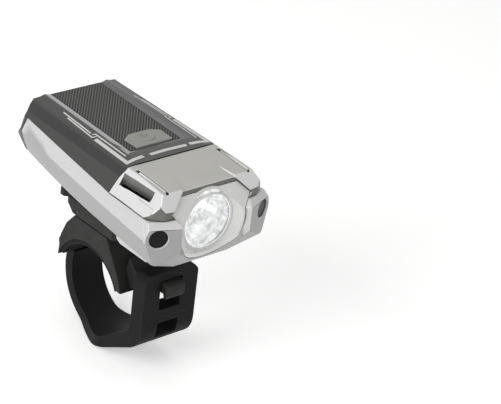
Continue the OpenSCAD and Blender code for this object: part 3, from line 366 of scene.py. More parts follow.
def moulded_rubber(name, tone, rib=0.0, span=(0.0, 0.0)):
    """Black rubber: dull, mottled by dusty bloom, with much lighter edges as a painted highlight, and fine
    ribs over a span of a strap's run.
    """
    material, tree, shader, place = start(name, {"Specular IOR Level": 0.12})
    bloom = grit(tree, place, 5, 4)
    tinted = toned(tree, shade(tone, 0.8), bloom, shade(tone, 1.35))
    # Edges much lighter: a painted highlight, with some wear
    tinted = toned(tree, tinted, worn_and_highlit_edge(tree, 0.6), shade(tone, 4.5))
    _, normal = dress(tree, shader, tinted, bloom, (0.5, 0.68), grit(tree, place, 0.4), 0.35, 0.03)
    if rib:
        flat = add(tree, "ShaderNodeUVMap", {"uv_map": "run"}).outputs[0]
        run = add(tree, "ShaderNodeSeparateXYZ", None, {0: flat}).outputs["Y"]
        angle = add(tree, "ShaderNodeMath", {"operation": "MULTIPLY", 1: 2 * math.pi / rib}, {0: run})
        ribs = add(tree, "ShaderNodeMath", {"operation": "SINE"}, {0: angle.outputs[0]}).outputs[0]
        # The ribs fade in and out over 1 mm
        for end, inside in ((span[0], span[0] + 1 * MM), (span[1], span[1] - 1 * MM)):
            mask = add(tree, "ShaderNodeMapRange", {"From Min": end, "From Max": inside}, {"Value": run})
            ribs = add(tree, "ShaderNodeMath", {"operation": "MULTIPLY"},
                       {0: ribs, 1: mask.outputs[0]}).outputs[0]
        bump = add(tree, "ShaderNodeBump", {"Strength": 0.8, "Distance": 0.12 * MM},
                   {"Height": ribs, "Normal": normal})
        tree.links.new(bump.outputs["Normal"], shader.inputs["Normal"])
    return material


def plated_steel(name, tone, rough=0.3, stretch=(1, 1, 1)):
    """Plated steel or cast metal: bright, with fine tool marks and dull spots."""
    material, tree, shader, place = start(name, {"Metallic": 1.0})
    drawn = add(tree, "ShaderNodeMapping", {"Scale": stretch}, {"Vector": place}).outputs[0]
    marks = grit(tree, drawn, 0.5, 4)
    tinted = toned(tree, shade(tone, 0.85), marks, shade(tone, 1.08))
    dress(tree, shader, tinted, marks, (rough - 0.08, rough + 0.12), marks, 0.3, 0.01)
    return material


def clear_acrylic():
    """Moulded acrylic, lit: a clear dome in front, and behind it a glowing light pipe of facets, bright and
    grey as painted highlights.
    """
    material, tree, shader, place = start("clear_acrylic", {"IOR": 1.49, "Emission Color": (1, 1, 1, 1)})
    depth = add(tree, "ShaderNodeSeparateXYZ", None, {0: place}).outputs["Y"]
    back = LENS_LOW.y + 3.0 * MM
    dome = add(tree, "ShaderNodeMapRange", {"From Min": back + 0.2 * MM, "From Max": back},
               {"Value": depth}).outputs["Result"]
    # The dome's margin is frosted, so that the dark seal behind it doesn't show
    plan = add(tree, "ShaderNodeVectorMath", {"operation": "MULTIPLY_ADD", 1: (1, 0, 1), 2: (0, 0, -LAMP.z)},
               {0: place}).outputs[0]
    radius = add(tree, "ShaderNodeVectorMath", {"operation": "LENGTH"}, {0: plan}).outputs["Value"]
    middle = add(tree, "ShaderNodeMapRange", {"From Min": 8.9 * MM, "From Max": 8.5 * MM},
                 {"Value": radius}).outputs["Result"]
    clear = add(tree, "ShaderNodeMath", {"operation": "MULTIPLY"}, {0: dome, 1: middle}).outputs[0]
    tree.links.new(clear, shader.inputs["Transmission Weight"])
    frosted = add(tree, "ShaderNodeMath", {"operation": "SUBTRACT", 0: 1.0}, {1: clear}).outputs[0]
    facets = add(tree, "ShaderNodeTexVoronoi", {"feature": "SMOOTH_F1", "Scale": 1 / (2.4 * MM),
                                                "Smoothness": 0.6}, {"Vector": place})
    cells = add(tree, "ShaderNodeRGBToBW", None, {"Color": facets.outputs["Color"]}).outputs["Val"]
    swirl = add(tree, "ShaderNodeTexNoise", {"Scale": 1 / (4 * MM), "Detail": 2.0, "Distortion": 1.6},
                {"Vector": place}).outputs["Fac"]
    swirl = add(tree, "ShaderNodeMapRange", {"From Min": 0.35, "From Max": 0.68, "To Max": 0.6},
                {"Value": swirl}).outputs["Result"]
    # The facets' grey to white, from cells and swirls, is a painted highlight of light in the pipe; it also
    # sets their glow
    tone = add(tree, "ShaderNodeMath", {"operation": "MULTIPLY_ADD", 1: 0.4},
               {0: cells, 2: swirl}).outputs[0]
    tinted = toned(tree, linear("#b2b5b5"), tone, linear("#fdfdfd"))
    lit = add(tree, "ShaderNodeMath", {"operation": "MULTIPLY_ADD", 1: 0.4, 2: 0.2}, {0: tone}).outputs[0]
    glow = add(tree, "ShaderNodeMath", {"operation": "MULTIPLY"}, {0: lit, 1: frosted}).outputs[0]
    tree.links.new(glow, shader.inputs["Emission Strength"])
    relief = add(tree, "ShaderNodeMath", {"operation": "MULTIPLY"},
                 {0: facets.outputs["Distance"], 1: frosted}).outputs[0]
    dress(tree, shader, tinted, grit(tree, place, 3), (0.02, 0.08), relief, 0.6, 0.4)
    return material


def glowing_phosphor():
    """Yellow phosphor over the die, lit, mottled by its grains."""
    material, tree, shader, place = start("led_phosphor", {"Roughness": 0.5, "Emission Strength": 6.0})
    tinted = toned(tree, linear("#fff6dc"), grit(tree, place, 0.4), linear("#ffffff"))
    tree.links.new(tinted, shader.inputs["Base Color"])
    tree.links.new(tinted, shader.inputs["Emission Color"])
    return material


def smoked_window():
    """Smoked polycarbonate: nearly black, glossy, a little lighter where the moulding flowed."""
    material, tree, shader, place = start("smoked_polycarbonate", {"Specular IOR Level": 0.15})
    tinted = toned(tree, linear("#080808"), grit(tree, place, 2.5), linear("#151514"))
    dress(tree, shader, tinted, grit(tree, place, 1.2), (0.12, 0.22))
    return material


def circuit_board():
    """Solder mask over glass cloth: green, with the cloth's weave and copper runs showing through."""
    material, tree, shader, place = start("solder_mask_board", {"Coat Weight": 0.4, "Coat Roughness": 0.15})
    runs = add(tree, "ShaderNodeTexBrick", {"Scale": 1 / (6 * MM), "Color1": linear("#1e5a38"),
                                            "Color2": linear("#236642"), "Mortar": linear("#2f7d52"),
                                            "Mortar Size": 0.06}, {"Vector": place}).outputs["Color"]
    cloth = grit(tree, place, 0.5)
    dress(tree, shader, runs, cloth, (0.3, 0.5), cloth, 0.3, 0.02)
    return material


# Meshes

def put(bm, name, body, material, stands_for=(), smooth=True, turn=True):
    """Closes a mesh, makes it a piece that rides on a body, and hides the solids that it stands for."""
    bmesh.ops.remove_doubles(bm, verts=bm.verts, dist=0.002 * MM)
    if turn:
        bmesh.ops.recalc_face_normals(bm, faces=bm.faces)
    for face in bm.faces:
        face.smooth = smooth
    mesh = bpy.data.meshes.new(name)
    bm.to_mesh(mesh)
    bm.free()
    mesh.materials.append(material)
    piece = bpy.data.objects.new(name, mesh)
    bpy.context.scene.collection.objects.link(piece)
    if body:
        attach(piece, body)
    if stands_for:
        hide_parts(*stands_for)
    return piece


def paint(names, material):
    """Gives solids that stay as they are their finish."""
    for name in names:
        SOLIDS[name].data.materials.clear()
        SOLIDS[name].data.materials.append(material)


def edges_of(verts):
    """The edges that vertices carry."""
    return list(dict.fromkeys(edge for vert in verts for edge in vert.link_edges))


def soften(bm, edges, radius, segments=2, clamp=False):
    """Breaks edges by a radius."""
    bmesh.ops.bevel(bm, geom=edges, offset=radius, offset_type="OFFSET", affect="EDGES", segments=segments,
                    profile=0.5, material=-1, clamp_overlap=clamp, loop_slide=False)


def broken_edges(node, body, material, width, angle=24.0):
    """A copy of a moulded solid whose sharp edges are broken by a small radius."""
    bm = bmesh.new()
    bm.from_mesh(SOLIDS[node].data)
    bmesh.ops.remove_doubles(bm, verts=bm.verts, dist=0.004 * MM)
    skin = BVHTree.FromBMesh(bm)
    bmesh.ops.join_triangles(bm, faces=bm.faces, angle_face_threshold=math.radians(0.6),
                             angle_shape_threshold=math.pi)
    sharp = [e for e in bm.edges if e.calc_face_angle(0) > math.radians(angle)]
    soften(bm, sharp, width)
    # Where edges are closer together than the radius, a corner can leave the surface, and goes back to it
    low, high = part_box(node)
    for vert in bm.verts:
        spot, _, _, off = skin.find_nearest(vert.co)
        if off > 0.75 * width:
            vert.co = spot
        vert.co = [min(max(c, a), b) for c, a, b in zip(vert.co, low, high)]
    piece = put(bm, node + "_moulding", body, material, (node,), turn=False)
    shading = piece.modifiers.new("even shading", "WEIGHTED_NORMAL")
    shading.weight = 80
    return piece


def skin_of(node):
    """A solid's surface, to lay trim on."""
    bm = bmesh.new()
    bm.from_mesh(SOLIDS[node].data)
    tree = BVHTree.FromBMesh(bm)
    bm.free()
    return tree


def closed_line(bm, points):
    """A closed line through points, as the vertices and edges that a spin takes."""
    verts = [bm.verts.new(point) for point in points]
    return verts + [bm.edges.new((a, b)) for a, b in zip(verts, verts[1:] + verts[:1])]


def on_skin(tree, x, y):
    """Height of a piece's upper side at a place, in metres."""
    hit = tree.ray_cast(Vector((x, y, 1)), Vector((0, 0, -1)))
    if hit[0] is None:
        raise RuntimeError("a trim line leaves the piece under it")
    return hit[0].z


def trim_line(bm, tree, points, width, proud, deep, beside=0.0):
    """A raised line with sides, along points of the lamp's plan, over the skin there or a step beside it."""
    path = [Vector((x * MM, y * MM, 0)) + LAMP for x, y in points]
    step = 0.6 * MM
    fine = [path[0]]
    for a, b in zip(path, path[1:]):
        count = max(1, int((b - a).length / step))
        fine += [a.lerp(b, (i + 1) / count) for i in range(count)]
    made = bmesh.ops.create_grid(bm, x_segments=len(fine) - 1, y_segments=1, size=1)["verts"]
    for vert in made:
        i = round((vert.co.x + 1) / 2 * (len(fine) - 1))
        before = (fine[i] - fine[max(i - 1, 0)]).xy
        after = (fine[min(i + 1, len(fine) - 1)] - fine[i]).xy
        ways = [w.normalized() for w in (before, after) if w.length > 0]
        along = sum(ways, Vector((0, 0))).normalized()
        side = Vector((-along.y, along.x)) / max(0.5, along.dot(ways[0]))
        spot = fine[i].xy + side * (vert.co.y * width / 2)
        vert.co = (spot.x, spot.y, on_skin(tree, spot.x + beside, spot.y) + proud)
    faces = list(dict.fromkeys(face for vert in made for face in vert.link_faces))
    skirt = bmesh.ops.extrude_face_region(bm, geom=faces)["geom"]
    for vert in [g for g in skirt if isinstance(g, bmesh.types.BMVert)]:
        vert.co.z -= deep


def belt(strap):
    """Rows of the strap from its eye round the bar to its free end: outer point, inner point and hole."""
    hub, free = Vector((0, 0)), Vector((-strap.front + strap.turn, -2 * MM))
    inner, outer = strap.bar_radius + strap.gap, strap.bar_radius + strap.gap + strap.thick
    low = strap.turn - strap.pad

    def leave(r1, r2):
        way = math.atan2(free.y, free.x) + math.acos((r1 - r2) / free.length)
        return math.degrees(way) + 360

    def at(centre, radius, angle):
        return centre + radius * Vector((math.cos(math.radians(angle)), math.sin(math.radians(angle))))

    # The arc starts at the eye, and goes on a little past the point where the straight run leaves it
    out_a, in_a = leave(outer, strap.turn), leave(inner, low)
    first, past = 379.5, 1.5
    rows = []
    for i in range(ARC_ROWS):
        t = i / (ARC_ROWS - 1)
        rows.append((at(hub, outer, first + (out_a + past - first) * t),
                     at(hub, inner, first + (in_a + past - first) * t), False))
    for t, hole in RUN_ROWS:
        rows.append((at(hub, outer, out_a).lerp(at(free, strap.turn, out_a), t),
                     at(hub, inner, in_a).lerp(at(free, low, in_a), t), hole))
    for t, hole in TURN_ROWS:
        rows.append((at(free, strap.turn, out_a + (180 - out_a) * t),
                     at(free, low, in_a + (180 - in_a) * t), hole))
    for z, hole in PAD_ROWS:
        rows.append((Vector((-strap.front, z * MM)), Vector((-strap.front + strap.pad, z * MM)), hole))
    return rows


def half_width(strap, point):
    """Half the strap's width at a point of its outer side: it tapers behind the bar, and its end slants."""
    y, z = point
    taper_start, taper_run = -4 * MM, 13 * MM
    slant_start, slant = 16.5 * MM, 0.9
    t = min(1, max(0, (y - taper_start) / taper_run))
    wide = strap.wide / 2 + (strap.narrow - strap.wide) / 2 * t
    return wide - max(0, z - slant_start) * slant if y < 0 else wide


# Operators

class HEADLIGHT_OT_housing(bpy.types.Operator):
    """Finishes the cover, bezel and tub with broken edges, paint and grain"""
    bl_idname = "headlight.housing"
    bl_label = "Housing"

    def execute(self, context):
        finish = context.scene.headlight_finish
        broken_edges("top_cover", "lamp", cover_abs(finish.cover), 0.8 * finish.edge)
        bezel = bezel_paint(finish.bezel, finish.shell)
        broken_edges("front_bezel", "lamp", bezel, finish.edge)
        broken_edges("lower_shell", "lamp", silver_paint(finish.shell), finish.edge)
        return {"FINISHED"}


class HEADLIGHT_OT_deck(bpy.types.Operator):
    """Finishes the deck: woven panel, rubber button with its raised sign, printed trim lines"""
    bl_idname = "headlight.deck"
    bl_label = "Deck"

    def execute(self, context):
        finish, deck = context.scene.headlight_finish, context.scene.headlight_deck
        paint(["deck_panel"], twill_film(deck))
        # Soft grey rubber: dull and finely grained, with a painted highlight on its edges and painted shade
        # in its seams
        rubber = moulded("button_rubber", finish.button, 0.6, 0.4, 0.02, 1.2)
        broken_edges("power_button", "power_button", rubber, finish.edge)
        self.sign(deck, rubber)
        self.trim(finish, deck)
        self.ribs()
        return {"FINISHED"}

    def sign(self, deck, material):
        """A ring with a gap at its top and a bar in the gap, raised from the button."""
        low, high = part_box("power_button")
        middle = Vector((0, low.y + 5.2 * MM, high.z))
        half, flat, gap = deck.sign_line / 2, 0.8, math.radians(70)
        bm = bmesh.new()
        ring = bmesh.ops.create_circle(bm, segments=8, radius=half)["verts"]
        bmesh.ops.scale(bm, verts=ring, vec=(1, flat, 1))
        bmesh.ops.rotate(bm, verts=ring, matrix=Matrix.Rotation(math.pi / 2, 3, "X"))
        bmesh.ops.translate(bm, verts=ring, vec=(deck.sign, 0, 0))
        bmesh.ops.rotate(bm, verts=ring, matrix=Matrix.Rotation(math.pi / 2 + gap / 2, 3, "Z"))
        bmesh.ops.spin(bm, geom=ring + edges_of(ring), axis=(0, 0, 1), cent=(0, 0, 0),
                       angle=2 * math.pi - gap, steps=36)
        bmesh.ops.holes_fill(bm, edges=bm.edges)
        bar = bmesh.ops.create_cube(bm, size=1)["verts"]
        bmesh.ops.scale(bm, verts=bar, vec=(deck.sign_line, deck.sign, deck.sign_line * flat))
        bmesh.ops.translate(bm, verts=bar, vec=(0, deck.sign * 0.72, 0))
        soften(bm, edges_of(bar), half * 0.4)
        bmesh.ops.translate(bm, verts=bm.verts, vec=middle)
        put(bm, "power_sign", "power_button", material)

    def trim(self, finish, deck):
        """Thin and thick printed lines round the panel, in millimetres from the lamp's zero."""
        bm, tree = bmesh.new(), skin_of("top_cover")
        thin, thick, proud = deck.trim_thin, deck.trim_thick, deck.trim_proud
        right_half = (([(14.3, 61), (14.9, 45.2)], thin),
                      ([(15.2, 57.5), (16.0, 43.0), (14.6, 42.5)], thin),
                      ([(14.9, 44.4), (14.1, 43.8), (14.2, 27.6)], thin),
                      ([(15.8, 41.4), (16.2, 24.2), (9.3, 25.0)], thick))
        for side in (-1, 1):
            for points, width in right_half:
                trim_line(bm, tree, [(side * x, y) for x, y in points], width, proud, 3 * proud)
        trim_line(bm, tree, [(-6.6, 24.9), (0, 25.1), (7.9, 24.8)], thick, proud, 3 * proud)
        # Pale print, a little uneven, with a satin face
        pale = moulded("pale_print", finish.trim, 0.4, 0.6, 0.01)
        put(bm, "deck_trim", "lamp", pale, smooth=False)

    def ribs(self):
        """A rib in each groove of the bezel, painted bright as a highlight, with a shadow gap on its inner
        side.
        """
        bm, tree = bmesh.new(), skin_of("front_bezel")
        wide, proud, deep, beside = 0.5 * MM, 0.12 * MM, 1.9 * MM, 1.05 * MM
        for side in (-1, 1):
            points = [(side * 16.45, 4.4), (side * 16.45, 17.6)]
            trim_line(bm, tree, points, wide, proud, deep, side * beside)
        # Painted highlight on the ribs' tops
        bright = moulded("rib_painted_highlight", linear("#e4e4e2"), 0.32, 0.6, 0.005)
        put(bm, "bezel_ribs", "lamp", bright, smooth=False)


class HEADLIGHT_OT_optics(bpy.types.Operator):
    """Finishes the collar, lens, lamp chip and side windows"""
    bl_idname = "headlight.optics"
    bl_label = "Optics"

    def execute(self, context):
        finish = context.scene.headlight_finish
        # Bright satin ABS, with painted shade in its seams and a slight painted highlight on its edges
        collar = moulded("bright_collar_abs", finish.collar, 0.3, 0.8, 0.006, 1.1, seam_shade=0.62)
        broken_edges("lens_collar", "lamp", collar, finish.edge)
        paint(["lens"], clear_acrylic())
        self.rim()
        paint(["led"], glowing_phosphor())
        paint(["side_windows"], smoked_window())
        # White solder mask on an aluminium core
        paint(["led_board"], moulded("white_core_board", linear("#e9e8e2"), 0.45, 0.6, 0.01))
        paint(["heat_sink"], plated_steel("cast_aluminium", linear("#bcbdbe"), 0.42))
        # Amber epoxy of a small lamp
        paint(["side_leds"], moulded("amber_epoxy", linear("#d8b25a"), 0.2, 1.0, 0.005))
        paint(["lens_gasket"], moulded_rubber("gasket_silicone", linear("#2b2b2b")))
        return {"FINISHED"}

    def rim(self):
        """A bright ring that closes the gap between the lens and its collar, seated a little into both."""
        # Millimetres behind the lens's front, and radius
        profile = ((1.5, 9.1), (0.95, 9.2), (0.65, 9.45), (0.65, 9.8), (0.9, 10.05), (1.5, 9.95))
        bm = bmesh.new()
        line = closed_line(bm, [(0, LENS_LOW.y + y * MM, LAMP.z + r * MM) for y, r in profile])
        bmesh.ops.spin(bm, geom=line, axis=(0, 1, 0), cent=LAMP, angle=2 * math.pi, steps=64, use_merge=True)
        # Polished acrylic, bright from the light inside it
        acrylic = moulded("polished_rim_acrylic", linear("#d6d7d7"), 0.18, 1.0, 0.003)
        put(bm, "lens_rim", "lamp", acrylic)


class HEADLIGHT_OT_inside(bpy.types.Operator):
    """Finishes the cell, board, switch, socket and fasteners"""
    bl_idname = "headlight.inside"
    bl_label = "Inside"

    def execute(self, context):
        paint(["battery_pouch"], plated_steel("pouch_foil", linear("#b7bbbf"), 0.36))
        paint(["control_board"], circuit_board())
        # Black PBT of a small switch
        paint(["tact_switch"], moulded("switch_pbt", linear("#39393b"), 0.4, 0.5, 0.01))
        paint(["usb_socket"], plated_steel("tinned_steel", linear("#bfc0c2"), 0.26, (1, 0.1, 1)))
        paint(["case_screws", "rail_screws"], plated_steel("zinc_screw", linear("#c4c3bf"), 0.3))
        paint(["swivel_screw", "swivel_washer"], plated_steel("zinc_swivel", linear("#bdbdb9"), 0.32))
        paint(["lever_pin", "strap_pin"], plated_steel("blackened_pin", linear("#4b4a48"), 0.3, (0.1, 1, 1)))
        return {"FINISHED"}


class HEADLIGHT_OT_bracket(bpy.types.Operator):
    """Finishes the saddle, cradle, lever and rail as glass-filled nylon"""
    bl_idname = "headlight.bracket"
    bl_label = "Bracket"

    def execute(self, context):
        finish = context.scene.headlight_finish
        # Glass-filled nylon: dull, mottled by its fibres, paler on worn edges as a painted highlight, with
        # painted shade in its seams
        nylon = moulded("glass_filled_nylon", finish.bracket, 0.55, 0.45, 0.03, 1.8,
                        {"Specular IOR Level": 0.2})
        for node, body in (("saddle", "saddle"), ("cradle", "cradle"), ("release_lever", "release_lever"),
                           ("slide_rail", "lamp")):
            broken_edges(node, body, nylon, finish.edge)
        return {"FINISHED"}


class HEADLIGHT_OT_strap(bpy.types.Operator):
    """Makes the rubber strap in one piece from its eye to its free end, with holes, soft edges and ribs"""
    bl_idname = "headlight.strap"
    bl_label = "Strap"

    def execute(self, context):
        finish, strap = context.scene.headlight_finish, context.scene.headlight_strap
        rows = belt(strap)
        runs = [0.0]
        for (a, _, _), (b, _, _) in zip(rows, rows[1:]):
            runs.append(runs[-1] + (b - a).length)
        # The outer side is a grid that loses its faces over the holes
        bm = bmesh.new()
        columns, middle, border = 8, 4, 1.1 * MM
        bmesh.ops.create_grid(bm, x_segments=columns, y_segments=len(rows) - 1, size=1)
        uv = bm.loops.layers.uv.new("run")
        index = {v: (round((v.co.x + 1) / 2 * columns), round((v.co.y + 1) / 2 * (len(rows) - 1)))
                 for v in bm.verts}

        def across(column, row):
            wide = half_width(strap, rows[row][0])
            steps = (0, strap.hole / 4, min(strap.hole / 2, wide * 0.7), wide - border, wide)
            return math.copysign(steps[abs(column - middle)], column - middle)

        for face in bm.faces:
            for loop in face.loops:
                column, row = index[loop.vert]
                loop[uv].uv = (across(column, row), runs[row])
        gone = [f for f in bm.faces if rows[max(index[v][1] for v in f.verts)][2]
                and all(abs(index[v][0] - middle) <= 2 for v in f.verts)]
        for vert in bm.verts:
            column, row = index[vert]
            vert.co = (across(column, row), *rows[row][0])
        bmesh.ops.delete(bm, geom=gone, context="FACES")
        # The inner side is a copy of it, and each point finds its row by where it was copied from
        outer = {v: index[v] for v in bm.verts}
        copied = bmesh.ops.extrude_face_region(bm, geom=bm.faces[:], use_keep_orig=True)["geom"]
        places = {tuple(round(c, 7) for c in v.co): i for v, i in outer.items()}
        for vert in [g for g in copied if isinstance(g, bmesh.types.BMVert)]:
            column, row = places[tuple(round(c, 7) for c in vert.co)]
            vert.co = (across(column, row), *rows[row][1])
        bmesh.ops.recalc_face_normals(bm, faces=bm.faces)
        sharp = [e for e in bm.edges if e.calc_face_angle(0) > math.radians(50)]
        soften(bm, sharp, strap.soft, clamp=True)
        self.eye(bm, strap)
        # The fine ribs go from the start of the turn to the sixth row of the front pad
        start_row = ARC_ROWS + len(RUN_ROWS) - 1
        span = runs[start_row], runs[start_row + len(TURN_ROWS) + 6]
        rubber = moulded_rubber("strap_rubber", finish.rubber, strap.rib, span)
        piece = put(bm, "strap_moulding", None, rubber, ("strap", "strap_tail"))
        smooth = piece.modifiers.new("rubber", "SUBSURF")
        smooth.levels = smooth.render_levels = 1
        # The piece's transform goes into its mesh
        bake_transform(piece)
        return {"FINISHED"}

    def eye(self, bm, strap):
        """The loop round the pin behind the bar."""
        low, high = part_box("strap_pin")
        centre = (low + high) / 2
        play, soft = 0.1 * MM, 0.5 * MM
        hole, outside, half = (high.z - low.z) / 2 + play, 2.7 * MM, strap.narrow / 2
        profile = ((-half, hole), (-half, outside - soft), (-half + soft, outside), (half - soft, outside),
                   (half, outside - soft), (half, hole))
        line = closed_line(bm, [centre + Vector((x, 0, radius)) for x, radius in profile])
        bmesh.ops.spin(bm, geom=line, axis=(1, 0, 0), cent=centre, angle=2 * math.pi, steps=32,
                       use_merge=True)


class HEADLIGHT_OT_pads(bpy.types.Operator):
    """Makes the rubber pad in the saddle and the charging flap at the stern"""
    bl_idname = "headlight.pads"
    bl_label = "Pads"

    def execute(self, context):
        finish, strap = context.scene.headlight_finish, context.scene.headlight_strap
        rubber = moulded_rubber("pad_rubber", finish.rubber)
        self.pad(strap, rubber)
        self.flap(rubber)
        return {"FINISHED"}

    def pad(self, strap, material):
        """A strip round the bar's top, with grip grooves on its inner side."""
        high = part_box("bar_pad")[1]
        half, inside, outside = high.x, strap.bar_radius, high.z
        soft, grooves, groove, deep = 0.25 * MM, 10, 0.5 * MM, 0.4 * MM
        profile = [(half, inside + soft), (half, outside - soft), (half - soft, outside),
                   (-half + soft, outside), (-half, outside - soft), (-half, inside + soft),
                   (-half + soft, inside)]
        for i in range(grooves):
            x = -half + (i + 1) * 2 * half / (grooves + 1)
            profile += [(x - groove, inside), (x - groove / 2, inside + deep),
                        (x + groove / 2, inside + deep), (x + groove, inside)]
        profile.append((half - soft, inside))
        bm = bmesh.new()
        first, sweep = math.radians(26), math.radians(128)
        line = closed_line(bm, [(x, r * math.cos(first), r * math.sin(first)) for x, r in profile])
        bmesh.ops.spin(bm, geom=line, axis=(1, 0, 0), cent=(0, 0, 0), angle=sweep, steps=40)
        bmesh.ops.holes_fill(bm, edges=bm.edges, sides=0)
        put(bm, "bar_pad_moulding", "saddle", material, ("bar_pad",), smooth=False)

    def flap(self, material):
        """A plate on the stern's slant, with a raised rim and a small bar for a fingernail."""
        # Upper and lower edge of the flap's outer face, as the solid has them
        top = Vector((0, 35.314, 52.642)) * MM
        foot = Vector((0, 39.014, 46.700)) * MM
        down = (foot - top).normalized()
        out = Vector((0, -down.z, down.y))
        size, wide, thick = (foot - top).length, 12 * MM, 1.5 * MM
        bm = bmesh.new()
        made = bmesh.ops.create_cube(bm, size=1)["verts"]
        bmesh.ops.scale(bm, verts=made, vec=(wide, size, thick))
        upright = [e for e in bm.edges if abs(e.verts[0].co.z - e.verts[1].co.z) > 1 * MM]
        soften(bm, upright, 1.1 * MM, 4)
        lid = [f for f in bm.faces if f.normal.z > 0.9]
        bmesh.ops.inset_region(bm, faces=lid, thickness=0.35 * MM, depth=0.0)
        bmesh.ops.inset_region(bm, faces=lid, thickness=0.3 * MM, depth=-0.3 * MM)
        bmesh.ops.translate(bm, verts=bm.verts, vec=(0, 0, -thick / 2))
        grip = bmesh.ops.create_cube(bm, size=1)["verts"]
        bmesh.ops.scale(bm, verts=grip, vec=(4.4 * MM, 0.7 * MM, 0.5 * MM))
        bmesh.ops.translate(bm, verts=grip, vec=(0, -size / 2 + 1.7 * MM, -0.3 * MM))
        soften(bm, edges_of(grip), 0.16 * MM)
        matrix = Matrix(((1, 0, 0), (0, down.y, out.y), (0, down.z, out.z)))
        bmesh.ops.rotate(bm, verts=bm.verts, matrix=matrix)
        bmesh.ops.translate(bm, verts=bm.verts, vec=(top + foot) / 2)
        piece = put(bm, "charging_flap", "usb_cover", material, ("usb_cover",))
        bevel = piece.modifiers.new("soft edge", "BEVEL")
        bevel.width, bevel.segments, bevel.limit_method = 0.12 * MM, 2, "ANGLE"


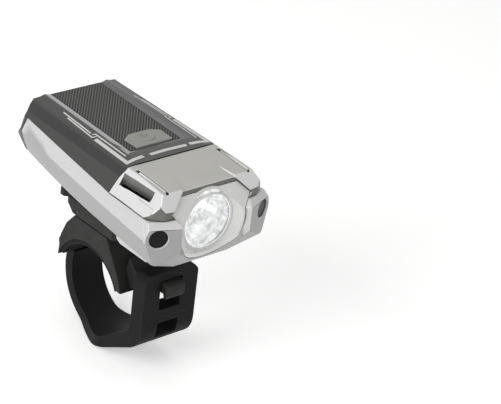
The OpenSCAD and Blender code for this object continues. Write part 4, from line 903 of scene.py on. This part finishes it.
class HEADLIGHT_OT_stage(bpy.types.Operator):
    """Sets the camera, the pale floor and the soft light"""
    bl_idname = "headlight.stage"
    bl_label = "Stage"

    def execute(self, context):
        stage = context.scene.headlight_stage
        scene = context.scene
        scene.view_settings.view_transform = "Standard"
        # The camera's place and axes, as they were fitted to the photo
        eye = Vector((-370.6, -448.5, 340.1)) * MM
        right = Vector((0.75796, -0.64273, 0.11129))
        up = Vector((0.22689, 0.41974, 0.87881))
        back = Vector((-0.61156, -0.64086, 0.46398))
        camera = bpy.data.cameras.new("view")
        camera.lens, camera.sensor_width, camera.clip_start = 143.77, 36, 0.01
        holder = bpy.data.objects.new("view", camera)
        holder.matrix_world = Matrix((right, up, back)).transposed().to_4x4()
        holder.location = eye
        scene.collection.objects.link(holder)
        scene.camera = holder
        self.floor(stage)
        self.lamp("left", stage.key, 0.5, Vector((-0.72, -0.02, 0.44)))
        self.lamp("ahead", stage.fill, 0.5, Vector((-0.2, -0.75, 0.4)))
        self.lamp("overhead", stage.top, 0.7, Vector((0.1, 0.1, 0.8)))
        self.sky(scene, stage)
        return {"FINISHED"}

    def floor(self, stage):
        """A wide pale floor under the strap."""
        bm = bmesh.new()
        bmesh.ops.create_grid(bm, x_segments=8, y_segments=8, size=4)
        bmesh.ops.translate(bm, verts=bm.verts, vec=(0, 0, CAD_BOX[0][2] - 0.05 * MM))
        mesh = bpy.data.meshes.new("floor")
        bm.to_mesh(mesh)
        bm.free()
        material, tree, shader, place = start("pale_floor", {"Roughness": 0.8,
                                                             "Emission Color": (1, 1, 1, 1)})
        tinted = toned(tree, shade(stage.floor, 0.99), grit(tree, place, 60), stage.floor)
        tree.links.new(tinted, shader.inputs["Base Color"])
        tree.links.new(self.white_where_seen(tree, 0.0, stage.glow), shader.inputs["Emission Strength"])
        mesh.materials.append(material)
        floor = bpy.data.objects.new("floor", mesh)
        bpy.context.scene.collection.objects.link(floor)

    def lamp(self, name, power, size, spot):
        """A square soft light that looks at the headlight."""
        light = bpy.data.lights.new(name, "AREA")
        light.energy, light.size = power, size
        holder = bpy.data.objects.new(name, light)
        aim = Vector((0, -0.01, 0.03)) - spot
        holder.matrix_world = Matrix.Translation(spot) @ aim.to_track_quat("-Z", "Y").to_matrix().to_4x4()
        bpy.context.scene.collection.objects.link(holder)

    def white_where_seen(self, tree, lit, seen):
        """One strength for what is seen directly, mirrored or through glass, another for the light given."""
        path = add(tree, "ShaderNodeLightPath").outputs
        share = path["Is Camera Ray"]
        for ray in ("Is Glossy Ray", "Is Transmission Ray"):
            share = add(tree, "ShaderNodeMath", {"operation": "MAXIMUM"},
                        {0: share, 1: path[ray]}).outputs[0]
        return add(tree, "ShaderNodeMapRange", {"To Min": lit, "To Max": seen},
                   {"Value": share}).outputs["Result"]

    def sky(self, scene, stage):
        """Even light from all round; seen directly, mirrored or through glass it is white."""
        world = bpy.data.worlds.new("studio")
        scene.world = world
        world.use_nodes = True
        tree = world.node_tree
        tree.nodes.clear()
        light = add(tree, "ShaderNodeBackground", {"Color": (1, 1, 1, 1)},
                    {"Strength": self.white_where_seen(tree, stage.sky, 1.0)})
        add(tree, "ShaderNodeOutputWorld", None, {"Surface": light.outputs[0]})


class HEADLIGHT_PT_panel(bpy.types.Panel):
    """Lists the headlight's finishes and sizes"""
    bl_idname = "HEADLIGHT_PT_panel"
    bl_label = "Headlight"
    bl_space_type = "VIEW_3D"
    bl_region_type = "UI"
    bl_category = "Headlight"

    def draw(self, context):
        for operator in OPERATORS:
            self.layout.operator(operator.bl_idname)
        for group in GROUPS:
            values = getattr(context.scene, group)
            box = self.layout.box()
            for key in type(values).__annotations__:
                box.prop(values, key)


GROUPS = {"headlight_finish": HeadlightFinish, "headlight_deck": HeadlightDeck,
          "headlight_strap": HeadlightStrap, "headlight_stage": HeadlightStage}
OPERATORS = (HEADLIGHT_OT_stage, HEADLIGHT_OT_housing, HEADLIGHT_OT_deck, HEADLIGHT_OT_optics,
             HEADLIGHT_OT_inside, HEADLIGHT_OT_bracket, HEADLIGHT_OT_strap, HEADLIGHT_OT_pads)


def register():
    for group in GROUPS.values():
        bpy.utils.register_class(group)
    for operator in OPERATORS:
        bpy.utils.register_class(operator)
    bpy.utils.register_class(HEADLIGHT_PT_panel)
    for name, group in GROUPS.items():
        setattr(bpy.types.Scene, name, PointerProperty(type=group))


def unregister():
    for name in GROUPS:
        delattr(bpy.types.Scene, name)
    bpy.utils.unregister_class(HEADLIGHT_PT_panel)
    for cls in OPERATORS + tuple(GROUPS.values()):
        bpy.utils.unregister_class(cls)


def main():
    """Makes every piece in order."""
    register()
    bpy.ops.headlight.stage()
    bpy.ops.headlight.housing()
    bpy.ops.headlight.deck()
    bpy.ops.headlight.optics()
    bpy.ops.headlight.inside()
    bpy.ops.headlight.bracket()
    bpy.ops.headlight.strap()
    bpy.ops.headlight.pads()


if __name__ == "__main__":
    main()
